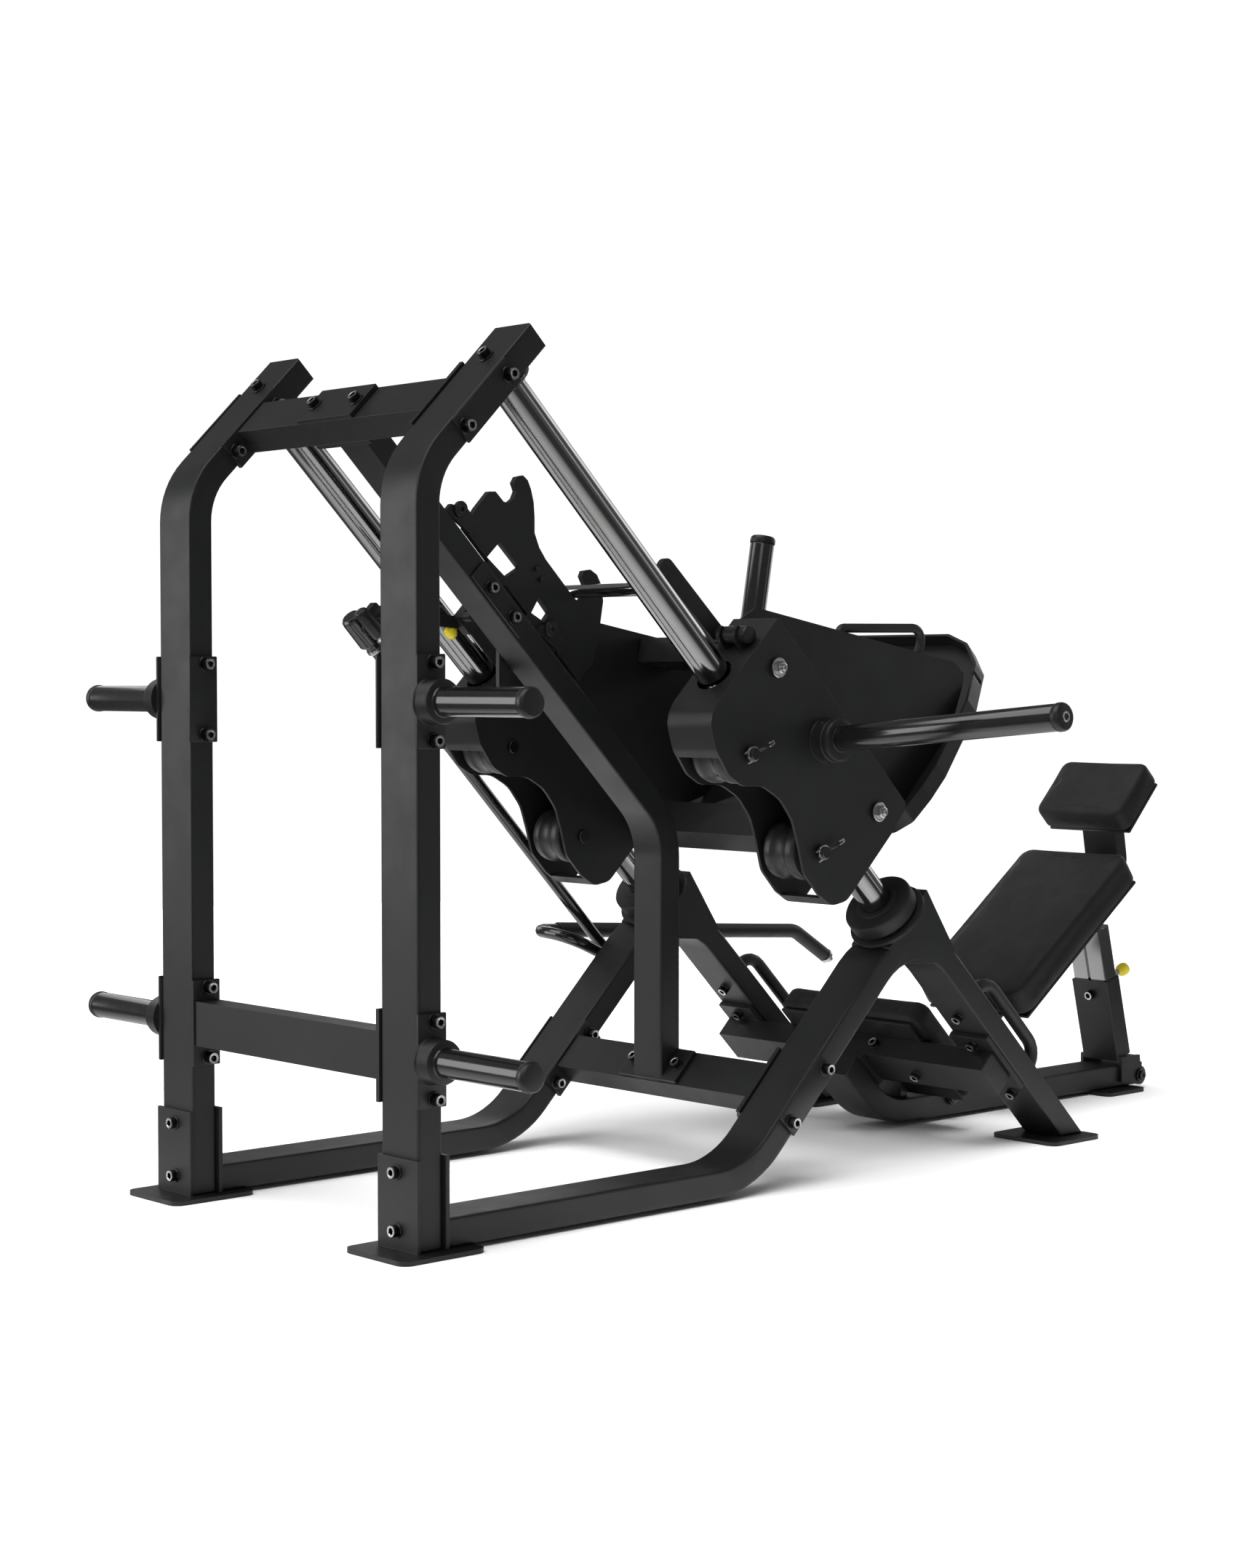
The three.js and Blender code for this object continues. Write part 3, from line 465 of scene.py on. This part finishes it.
for side, tag in SIDES:
    out = Y * side
    for level, z in (("upper", UPPER_HORN_Z), ("lower", LOWER_HORN_Z)):
        base = mm(25, side * 386.2, z)
        shaft = [(0, 32), (26.0, 32.8), (24.5, 34.5), (24, 37), (24, 238), (22.5, 239.4), (0, 239.4)]
        plate = bmesh.new()
        rounded_box(plate, mm(25, side * 383.2, z), X, Z, Y, (58, 154, 5.6), 2, 1)
        spun(plate, horn_boss(37.2, 33) + [(0, 33)], base, out, 64, 1)
        spun(plate, shaft, base, out, 64, 0)
        piece(f"storage_horn_{level}_{tag}_look", plate, [HORN, PAINT], "frame", 32,
              [f"storage_horn_{level}_{tag}"])
        cap(f"storage_cap_{level}_{tag}", base + out * 0.2395, out, "frame")
    lean = math.radians(5.1)
    root = tn(82, 76, side * 388.5)
    along = Vector((0, side * math.cos(lean), math.sin(lean)))
    boss = [(0, 0), (42.5, 0), (41.5, 1.5), (41, 3), (41, 26), (40, 27.5), (38.6, 28), (38.6, 29.4),
            (39.6, 30), (39.6, 38), (38.2, 40.6), (35, 42), (27, 42.4), (0, 42.4)]
    bm = spun(bmesh.new(), boss, root, out, 64, 1)
    start = root + out * 0.024 + Z * 0.002
    spun(bm, [(0, 6), (24, 6), (24, 518), (22.5, 520.4), (0, 520.4)], start, along, 64, 0)
    for k in range(3):                          # grub screws round the boss
        a = 2 * math.pi * k / 3 + 0.9
        d = DOWN * math.cos(a) + OUT * math.sin(a)
        spun(bm, [(0, -2), (4.4, -2), (4.4, 0.5), (3.4, 1.2), (2.0, 1.2), (1.8, -0.6), (0, -0.6)],
             root + out * 0.014 + d * 0.0409, d, 18, 1)
    piece(f"weight_horn_{tag}_look", bm, [HORN, CARRIAGE], "carriage", 32,
          [f"weight_horn_{tag}"])
    end = start + along * 0.5205
    cap(f"weight_cap_{tag}", end, along, "carriage")
    bm = spun(bmesh.new(), [(9.6, 15.0), (9.6, 16.6), (8.6, 17.4), (6.2, 17.4), (5.2, 16.9)], end, along,
              30, 0, hexes=(4,))
    spun(bm, [(5.2, 16.9), (5.1, 12), (0, 11.6)], end, along, 30, 1, hexes=(0, 1))
    piece(f"weight_screw_{tag}", bm, [ZINC, BLACK_ZINC], "carriage", 30)

    # rail with its welded top disc, and the stack of rubber discs at its foot
    top = tn(-860.7, 0, side * RAIL_Y)
    length = 1357.4
    lathe_piece(f"rail_{tag}_look",
                [(0, 0), (46, 0), (47, 1), (47, 7), (46, 8), (31.4, 8), (30.4, 9.4), (30, 11),
                 (30, length - 1), (29, length), (0, length)],
                top, DOWN, CHROME, "frame", f"rail_{tag}", 96)
    lathe_piece(f"bumper_{tag}_look",
                [(30.5, 0), (39.5, 0), (41.6, 1.0), (42.6, 3), (64, 3.4), (68, 4.6), (69.7, 7), (70, 10),
                 (70, 31), (69, 34.2), (66, 36), (58, 37), (56, 38.6), (56, 41), (75, 41.4), (78, 42),
                 (79, 43.6), (79, 47.8), (77.6, 49.2), (30.5, 49.2), (30.5, 0)],
                tn(447, 0, side * RAIL_Y), DOWN, RUBBER, "frame", f"bumper_{tag}", 72)

    # grooved rollers on their bearings
    for i, (t, n) in enumerate(((-42, -78), (219, -78), (-102, 81), (280, 81))):
        prof = [(8.6, -39), (14.5, -39), (14.8, -36.6), (26, -36.6), (27, -39), (48, -39), (51, -38.2),
                (53.2, -36), (54.5, -31), (54.5, -24)]
        groove = [(min(54.5, abs(n) - math.sqrt(30.5 ** 2 - y * y)), y) for y in range(-22, 23, 2)]
        prof += groove + [(r, -h) for r, h in reversed(prof)] + [(8.6, -39)]
        roller = f"roller_{tag}_{i + 1}"
        lathe_piece(f"{roller}_look", prof, tn(t, n, side * RAIL_Y), Y, ROLLER, roller, roller, 72)

# upright horn on the carriage beam, which leans a little
base = tn(45, 319) + Vector((47 * 0.9843, 0, 47 * -0.1765)) / 1000
up = Vector((0.1765, 0, 0.9843))
bm = spun(bmesh.new(), [(0, 0.3), (35.5, 0.3), (34.6, 2), (34, 4), (34, 10), (33, 12), (30, 14), (25.4, 15),
                        (24.4, 16.2), (24, 18), (24, 195), (22.6, 196.6), (0, 196.6)], base, up, 64)
piece("centre_horn_look", bm, HORN, "carriage", 32, ["centre_horn"])
cap("centre_cap", base + up * 0.1967, up, "carriage")
lathe_piece("catch_bar_look", [(0, 0), (11.6, 0), (12.5, 1), (12.5, 566.4), (11.6, 567.4), (0, 567.4)],
            tn(-318, 67, -283.7), Y, ROD, "catch", "catch_bar", 48)

# ---- carriage hardware ----
for side, tag in SIDES:
    bm = bmesh.new()
    for face, d in ((393.2, 1), (273.8, -1)):
        for t, n in ((-102, 81), (280, 81)):
            hex_nut(bm, tn(t, n, side * face), Y * side * d)
    piece(f"axle_nuts_{tag}", bm, ZINC, "carriage", 30)
    bm = bmesh.new()
    lean = (DOWN * -0.25 + OUT * 0.97).normalized()
    for t, n in ((-42, -78), (219, -78)):
        if side > 0 and t < 0:                  # passes close under the release arm, so a flat ring
            spun(bm, [(8.2, 0), (13, 0), (13, 3.0), (12.4, 3.6), (8.2, 3.6)], tn(t, n, side * 388.2),
                 Y * side, 32)
        else:
            clip_pin(bm, tn(t, n, side * 393.2), Y * side, (lean * 0.8 + DOWN * 0.5).normalized())
        spun(bm, [(0, 0), (13, 0), (13, 5), (11.6, 6.4), (0, 6.4)], tn(t, n, side * 273.8), Y * -side, 32)
    piece(f"axle_clips_{tag}", bm, [BLACK_ZINC, ZINC], "carriage", 30)
    # end caps of the catch frame's stub axles
    lathe_piece(f"catch_cap_{tag}",
                [(0, 0), (15.2, 0), (16.4, 1), (16.4, 4), (15.0, 6.6), (10, 7.6), (0, 7.8)],
                tn(-181, 86, side * 365.1), Y * side, CAP, "catch", None, 40)

# back strut: pop-pin knob, spring sleeve, pivot pins
at = kw(188, 25.4, -8)
bm = spun(bmesh.new(), [(0, 0), (12, 0), (12, 9), (11, 10), (9, 10)], at, STRUT_OUT, 24, 1, hexes=(1, 2))
spun(bm, [(9, 9.8), (9, 34), (8.4, 36), (7, 37), (7, 46)], at, STRUT_OUT, 32, 1)
knob = [(6.4, 44), (6.8, 46), (9, 49.4), (12.2, 54), (14.4, 60), (15.0, 66), (14.7, 71), (13.2, 75.6),
        (10.2, 78.8), (6, 80.4), (0, 80.9)]
spun(bm, knob, at, STRUT_OUT, 48, 0)
piece("strut_knob_look", bm, [YELLOW, ZINC], "strut_knob", 50, ["strut_pin"])
PIN = [(0, 0), (15.5, 0), (15.5, 3.4), (14.4, 4.4), (10.5, 4.4), (10.2, 8.6), (9.0, 9.8), (4.6, 9.8),
       (4.2, 7.8), (0, 7.8)]
bm = bmesh.new()
for s in (-1, 1):
    spun(bm, PIN, mm(1694, s * 58.9, 51), Y * s, 36)
piece("back_pivot_pins", bm, BLACK_ZINC, "back", 30)
bm = bmesh.new()
for s in (-1, 1):
    spun(bm, PIN, mm(2344, s * 59, 30), Y * s, 36)
piece("strut_pivot_pins", bm, BLACK_ZINC, "strut_lower", 30)
bolts("strut_stop_screw", "strut_lower", [(kw(165, -25.3, 0), -STRUT_OUT)], washer=8.5, proud=11)

# release gear: sleeve on the lever, collar and stub at its end, ring on the rod's head
bend, tip = mm(1800, 520, 357), mm(1905, 520, 292)
d = (tip - bend).normalized()
bm = spun(bmesh.new(), [(0, -3), (15.8, -3), (17, -1.8), (17, 6), (15.8, 7.4), (9, 7.6), (8, 9), (8, 19),
                        (6.8, 20.4), (0, 20.4)], tip, d, 36)
sleeve = bmesh.new()
swept(sleeve, bent([mm(1075, 520, 405), bend, tip - d * 0.006], 60, 14), 16.2, 28)
piece("lever_sleeve", sleeve, SLEEVE, "lever", 40)
piece("lever_tip", bm, ZINC, "lever", 30)
rod_dir = Vector((1172 - 484, 0, 319 - 1037)).normalized()
bm = spun(bmesh.new(), [(12.6, 48), (16.6, 48.4), (17.2, 50), (17.2, 56), (16.2, 57.6), (12.6, 58)],
          mm(484, 424.5, 1037), rod_dir, 32)
piece("rod_ring", bm, ZINC, "release", 30)
bm = spun(bmesh.new(), [(0, 0), (16, 0), (16, 2.5), (15, 3.5), (9, 3.5), (9, 9), (7.6, 10.4), (0, 10.4)],
          mm(1268, 402.4, 407), Y, 32)
piece("lever_hub_bolt", bm, ZINC, "lever", 30)

# stop latch by the far rail: block with a yellow knob on a slotted plate, carried by the far housing
bm = bmesh.new()
rounded_box(bm, tn(-232, 22, 283), DOWN, OUT, Y, (150, 26, 5), 8)
for t in (-262, -205):
    rounded_box(bm, tn(t, 22, 286.4), DOWN, OUT, Y, (26, 9, 1.6), 4)
hub, far_end = tn(-318, -8, 275), tn(-462, -128, 275)
arm_dir = (hub - far_end).normalized()
rounded_box(bm, (hub + far_end) / 2, arm_dir, arm_dir.cross(Y), Y,
            ((hub - far_end).length * 1000 + 30, 24, 5), 9)
piece("latch_plate", bm, CARRIAGE, "carriage")
bm = bmesh.new()
rounded_box(bm, tn(-303, 14, 268), DOWN, OUT, Y, (46, 44, 22), 6)
spun(bm, [(0, 0), (10, 0), (10, 26), (9, 28), (0, 28)], tn(-318, 6, 257), -Y, 28)
spun(bm, [(0, 0), (9, 0.6), (12, 2.6), (13.4, 6), (13.4, 62), (12.4, 65), (9.6, 66.4), (0, 66.6)],
     tn(-492, -156, 275), DOWN, 32)
rounded_box(bm, tn(-470, -140, 275), DOWN, OUT, Y, (22, 40, 16), 5)
piece("latch_block", bm, CAP, "carriage")
bm = spun(bmesh.new(), [(0, 0), (7, 0), (7, 5), (6, 6), (0, 6)], tn(-425, -156, 275), DOWN, 24, 1,
          hexes=(1, 2))
spun(bm, [(0, 0), (6, 0), (6.4, 3), (10, 6), (13, 11), (13.4, 16), (11.5, 20.5), (6, 23), (0, 23.4)],
     tn(-306, -12, 281), -OUT, 36, 0)
piece("latch_knob", bm, [YELLOW, ZINC], "carriage", 50)

# platform: raised tread bars over the foot side, in a herringbone
PLATE = [(136, 201), (190, 172), (246, 148), (300, 148), (330, 180), (338, 240), (338, 300), (323, 392),
         (309, 477), (267, 582), (209, 640), (142, 668)]       # (half width, n) of its outline


def half_width(n):
    """Half the platform's width at height n."""
    spans = [a[0] + (b[0] - a[0]) * (n - a[1]) / (b[1] - a[1]) for a, b in zip(PLATE, PLATE[1:])
             if a[1] < b[1] and a[1] <= n <= b[1]]
    return min(spans) if spans else 0


bm = bmesh.new()
for row in range(18):
    n = 216 + row * 25
    reach = half_width(n) - 26
    for col in range(-14, 15):
        y = col * 24 + (12 if row % 2 else 0)
        if abs(y) < reach:
            turn = 1 if (row + col) % 2 else -1
            long_way = (Y * 0.7071 + OUT * 0.7071 * turn)
            rounded_box(bm, tn(418.4, n, y), long_way, long_way.cross(DOWN), DOWN, (15, 4.6, 1.6), 2.2, 0, 2)
piece("platform_tread", bm, CARRIAGE, "carriage", 30)


# ---- upholstery ----
CLOTH_FRAMES = 20


def outline(width, length, r, inset, segs=14):
    """Rounded rectangle, `inset` mm inside its full size."""
    pts = []
    a, b = width / 2 - inset, length / 2 - inset
    r = max(r - inset, 3)
    for sx, sy, start in ((1, 1, 0), (-1, 1, 90), (-1, -1, 180), (1, -1, 270)):
        for i in range(segs + 1):
            q = math.radians(start + 90 * i / segs)
            pts.append((sx * (a - r) + r * math.cos(q), sy * (b - r) + r * math.sin(q)))
    return pts


def cushion(name, node, width, length, thick, corner, corner_at, angle, body, swell):
    """Foam pad on its board: soft-edged closed form, swollen a little by a cloth run, flat on the board."""
    c, s = math.cos(angle), math.sin(angle)
    ex, ey, ez = Vector((0, -1, 0)), Vector((c, 0, s)), Vector((-s, 0, c))
    origin = corner_at + ey * (length / 2000)
    put = lambda x, y, z: origin + (ex * x + ey * y + ez * z) / 1000
    edge = 13.0                                 # radius of the soft upper edge
    levels = [(7.5, 4.5), (4.2, 5.8), (2.0, 9.0), (0.9, 14.0), (0.9, thick * 0.5), (0.9, thick - edge)]
    levels += [(0.9 + edge * (1 - math.cos(q)), thick - edge + edge * math.sin(q) * 0.86)
               for q in (math.radians(a) for a in (18, 36, 54, 72, 90))]
    levels += [(edge + 14, thick - 1.9), (edge + 34, thick - 1.2), (edge + 55, thick - 0.9)]
    bm = bmesh.new()
    rings = [[bm.verts.new(put(x, y, h)) for x, y in outline(width, length, corner, inset)]
             for inset, h in levels]
    n = len(rings[0])
    for a, b in zip(rings, rings[1:]):
        for i in range(n):
            bm.faces.new((a[i], a[(i + 1) % n], b[(i + 1) % n], b[i]))
    bm.faces.new(rings[0])
    bm.faces.new(rings[-1])
    bmesh.ops.recalc_face_normals(bm, faces=bm.faces)
    mesh = bpy.data.meshes.new(name)
    bm.to_mesh(mesh)
    bm.free()
    o = bpy.data.objects.new(name, mesh)
    bpy.context.scene.collection.objects.link(o)
    bpy.context.view_layer.objects.active = o
    remesh = o.modifiers.new("even", "REMESH")
    remesh.mode = "VOXEL"
    remesh.voxel_size = 0.0052
    bake(o)
    inflate(o, ez, origin, swell)
    sub = o.modifiers.new("smooth", "SUBSURF")
    sub.levels = sub.render_levels = 1
    bake(o)
    o.data.materials.clear()
    o.data.materials.append(VINYL)
    o.data.shade_smooth()
    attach(o, body)
    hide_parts(node)

    # board behind the foam, with its row of staples
    bm = bmesh.new()
    rim = outline(width, length, corner, 14)
    prism(bm, [put(x, y, 0.4) for x, y in rim], [put(x, y, 6.4) for x, y in rim])
    piece(f"{name}_board", bm, CAP, body, 30)
    bm = bmesh.new()
    rim = outline(width, length, corner, 22, 6)
    for (x0, y0), (x1, y1) in zip(rim, rim[1:] + rim[:1]):
        run = math.hypot(x1 - x0, y1 - y0)
        count = max(1, int(run / 22))
        for k in range(count):
            f = (k + 0.5) / count
            p = put(x0 + (x1 - x0) * f, y0 + (y1 - y0) * f, 0.2)
            d1 = (ex * (x1 - x0) + ey * (y1 - y0)).normalized()
            swept(bm, [p - d1 * 0.0045, p + d1 * 0.0045], 0.5, 6)
    piece(f"{name}_staples", bm, ZINC, body, 30)


def bake(o):
    """The object's mesh with its modifiers applied."""
    dg = bpy.context.evaluated_depsgraph_get()
    mesh = bpy.data.meshes.new_from_object(o.evaluated_get(dg))
    o.modifiers.clear()
    o.data = mesh


def inflate(o, ez, origin, cap_mm):
    """Cloth under pressure, its board side held; each point may move about cap_mm at most."""
    co = np.empty(len(o.data.vertices) * 3)
    o.data.vertices.foreach_get("co", co)
    rest = co.reshape(-1, 3)
    height = (rest - np.array(origin)) @ np.array(ez) * 1000
    group = o.vertex_groups.new(name="held")
    group.add([int(i) for i in np.nonzero(height < 9)[0]], 1.0, "REPLACE")
    cloth = o.modifiers.new("cloth", "CLOTH")
    st = cloth.settings
    st.quality = 5
    st.mass = 0.3
    st.tension_stiffness = st.compression_stiffness = 30
    st.shear_stiffness = 15
    st.bending_stiffness = 6
    st.use_pressure = True
    st.uniform_pressure_force = 4
    st.vertex_group_mass = "held"
    st.effector_weights.gravity = 0
    cloth.collision_settings.use_collision = False
    scene = bpy.context.scene
    scene.frame_start, scene.frame_end = 1, CLOTH_FRAMES
    for f in range(1, CLOTH_FRAMES + 1):
        scene.frame_set(f)
    dg = bpy.context.evaluated_depsgraph_get()
    moved = np.empty_like(co)
    o.evaluated_get(dg).data.vertices.foreach_get("co", moved)
    shift = moved.reshape(-1, 3) - rest
    far = np.linalg.norm(shift, axis=1, keepdims=True)
    limit = cap_mm / 1000                       # smooth cap on how far a point moves
    shift *= limit * np.tanh(far / limit) / np.maximum(far, 1e-9)
    normals = np.empty_like(co)
    o.data.vertex_normals.foreach_get("vector", normals)
    normals = normals.reshape(-1, 3)
    inward = np.minimum(np.sum(shift * normals, axis=1, keepdims=True), 0)
    shift -= normals * inward * 0.75            # sides pull in only a little
    shift *= np.clip((height[:, None] - 5) / 18, 0, 1)         # and not at all by the board
    o.modifiers.clear()
    scene.frame_set(1)
    o.data.vertices.foreach_set("co", (rest + shift).ravel())
    o.data.update()


cushion("seat_cushion", "seat_pad", 392, 256, 59.5, 26, tn(822, -4.2), -math.pi / 4, "frame", 4.5)
cushion("back_cushion", "back_pad", 298, 483, 76, 33, sh(205, 48.5), BACK_ANGLE, "back", 4.5)
cushion("head_cushion", "head_pad", 243, 164, 66, 25, mm(2218.7, 0, 591.7), math.radians(46.2), "back", 4)


# ---- CAD nodes that stay: welded, smooth-shaded, better materials ----
def smoothing():
    """Geometry nodes: weld split corners, smooth all edges flatter than 35 degrees."""
    g = bpy.data.node_groups.new("soft_edges", "GeometryNodeTree")
    g.interface.new_socket("Geometry", in_out="INPUT", socket_type="NodeSocketGeometry")
    g.interface.new_socket("Geometry", in_out="OUTPUT", socket_type="NodeSocketGeometry")
    add = g.nodes.new
    start, end = add("NodeGroupInput"), add("NodeGroupOutput")
    drop = add("GeometryNodeRemoveAttribute")
    drop.inputs["Name"].default_value = "custom_normal"
    weld = add("GeometryNodeMergeByDistance")
    weld.inputs["Distance"].default_value = 1e-5
    faces, edges = add("GeometryNodeSetShadeSmooth"), add("GeometryNodeSetShadeSmooth")
    edges.domain = "EDGE"
    angle, test = add("GeometryNodeInputMeshEdgeAngle"), add("FunctionNodeCompare")
    test.data_type, test.operation = "FLOAT", "LESS_THAN"
    test.inputs[1].default_value = math.radians(35)
    links = g.links.new
    links(start.outputs[0], drop.inputs["Geometry"])
    links(drop.outputs[0], weld.inputs["Geometry"])
    links(weld.outputs[0], faces.inputs["Geometry"])
    links(faces.outputs[0], edges.inputs["Geometry"])
    links(angle.outputs[0], test.inputs[0])
    links(test.outputs[0], edges.inputs["Shade Smooth"])
    links(edges.outputs[0], end.inputs[0])
    return g


LOOKS = {
    HORN: ("release_rod", "release_lever"),
    CARRIAGE: ("housing_near", "housing_far", "platform", "carriage_beam", "lower_carriage_beam",
               "catch_frame"),
    SLEEVE: ("seat_handle_near", "seat_handle_far", "grip_loop"),
    CHROME: ("strut_inner",),
}
soft = smoothing()
for name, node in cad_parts.items():
    node.data.materials.clear()
    node.data.materials.append(next((look for look, names in LOOKS.items() if name in names), PAINT))
    node.modifiers.new("soft_edges", "NODES").node_group = soft
    flat = node.modifiers.new("flat_faces", "WEIGHTED_NORMAL")
    flat.keep_sharp = True
    flat.weight = 90

# ---- floor, light, camera ----
def floor_disc(radius=6.0):
    """Round pale floor, as bright as the background; seen in the machine's reflections its colour is painted
    darker outwards, a painted shade in the reflections.
    """
    bm = bmesh.new()
    bmesh.ops.create_circle(bm, cap_ends=True, segments=96, radius=radius)
    mesh = bpy.data.meshes.new("studio_floor")
    bm.to_mesh(mesh)
    bm.free()
    m = Look("pale_floor")
    place = m.add("ShaderNodeTexCoord").outputs["Object"]
    away = m.add("ShaderNodeVectorMath", operation="LENGTH")
    m.put(away.inputs[0], place)
    near = m.remap(away.outputs["Value"], 0.8, 2.2, 0.9, 0.02)
    # painted shade: glossy rays see the floor's colour dimmed a little near the middle and to near black from
    # 2.2 m out, so the machine's reflections turn dark
    mirrored = m.add("ShaderNodeLightPath").outputs["Is Glossy Ray"]
    seen = m.maths("SUBTRACT", 1, m.maths("MULTIPLY", mirrored, m.maths("SUBTRACT", 1, near)))
    pale = m.blend(m.noise(0.7, 3), rgb(0.86), rgb(0.90))
    m.set(Base_Color=m.blend(seen, rgb(0.02), pale),
          Roughness=m.remap(m.noise(3, 3), 0.3, 0.7, 0.6, 0.7))
    m.bsdf.inputs["Specular IOR Level"].default_value = 0.1
    mesh.materials.append(m.mat)
    o = bpy.data.objects.new("studio_floor", mesh)
    bpy.context.scene.collection.objects.link(o)
    o.location = (0.0, 0.0, -0.0005)
    return o


FLOOR = floor_disc()


def softbox(name, at, towards, size, radiance):
    """Rectangular area light of the given radiance."""
    light = bpy.data.lights.new(name, "AREA")
    light.shape = "RECTANGLE"
    light.size, light.size_y = size
    light.energy = radiance * math.pi * size[0] * size[1]
    o = bpy.data.objects.new(name, light)
    bpy.context.scene.collection.objects.link(o)
    o.location = at
    o.rotation_euler = (Vector(towards) - Vector(at)).to_track_quat("-Z", "Y").to_euler()
    return o


def soft_sun(name, strength, direction, only=None):
    """Very soft sun, which may light one object only."""
    sun = bpy.data.lights.new(name, "SUN")
    sun.energy = strength
    sun.angle = math.radians(60)
    o = bpy.data.objects.new(name, sun)
    bpy.context.scene.collection.objects.link(o)
    o.rotation_euler = Vector(direction).to_track_quat("-Z", "Y").to_euler()
    if only:
        group = bpy.data.collections.new(name + "_lit")
        group.objects.link(only)
        o.light_linking.receiver_collection = group


softbox("left_wall", (-5.2, 3.6, 1.7), (0, 0, 0.7), (4.2, 3.4), 2.4)
softbox("back_strip", (3.6, 4.6, 2.6), (0, 0, 0.6), (2.2, 1.4), 1.6)
softbox("right_strip", (4.6, -4.2, 1.6), (0.4, 0, 0.6), (0.8, 3.2), 0.7)
softbox("camera_wall", (-4.7, -5.0, 2.6), (0, 0, 0.7), (3.0, 2.2), 1.0)
softbox("front_wall", (5.6, 0.6, 2.2), (0.6, 0, 0.7), (3.2, 2.4), 1.5)
softbox("far_wall", (0.6, 6.0, 2.4), (0, 0, 0.7), (3.0, 2.2), 1.0)
soft_sun("floor_sky", 3.9, (0.35, 0.15, -1), FLOOR)
soft_sun("top_fill", 1.5, (0.5, -0.1, -1))

# the room is dim, the background behind the machine plain white
world = bpy.data.worlds.new("studio")
bpy.context.scene.world = world
world.use_nodes = True
wt = world.node_tree
dim = wt.nodes["Background"]
dim.inputs["Color"].default_value = (0.97, 0.98, 1.0, 1)
dim.inputs["Strength"].default_value = 0.16
white = wt.nodes.new("ShaderNodeBackground")
white.inputs["Color"].default_value = (1, 1, 1, 1)
white.inputs["Strength"].default_value = 1.05
mix = wt.nodes.new("ShaderNodeMixShader")
wt.links.new(wt.nodes.new("ShaderNodeLightPath").outputs["Is Camera Ray"], mix.inputs[0])
wt.links.new(dim.outputs[0], mix.inputs[1])
wt.links.new(white.outputs[0], mix.inputs[2])
wt.links.new(mix.outputs[0], wt.nodes["World Output"].inputs["Surface"])

camera = bpy.data.cameras.new("camera")
camera.sensor_fit = "HORIZONTAL"
camera.sensor_width = 36
camera.lens = 76.57
camera.clip_end = 100
eye = bpy.data.objects.new("camera", camera)
bpy.context.scene.collection.objects.link(eye)
eye.location = (-3.7910, -3.7771, 0.9379)
eye.rotation_euler = (math.radians(87.763), 0, math.radians(-42.32))
bpy.context.scene.camera = eye
bpy.context.scene.view_settings.view_transform = "Standard"
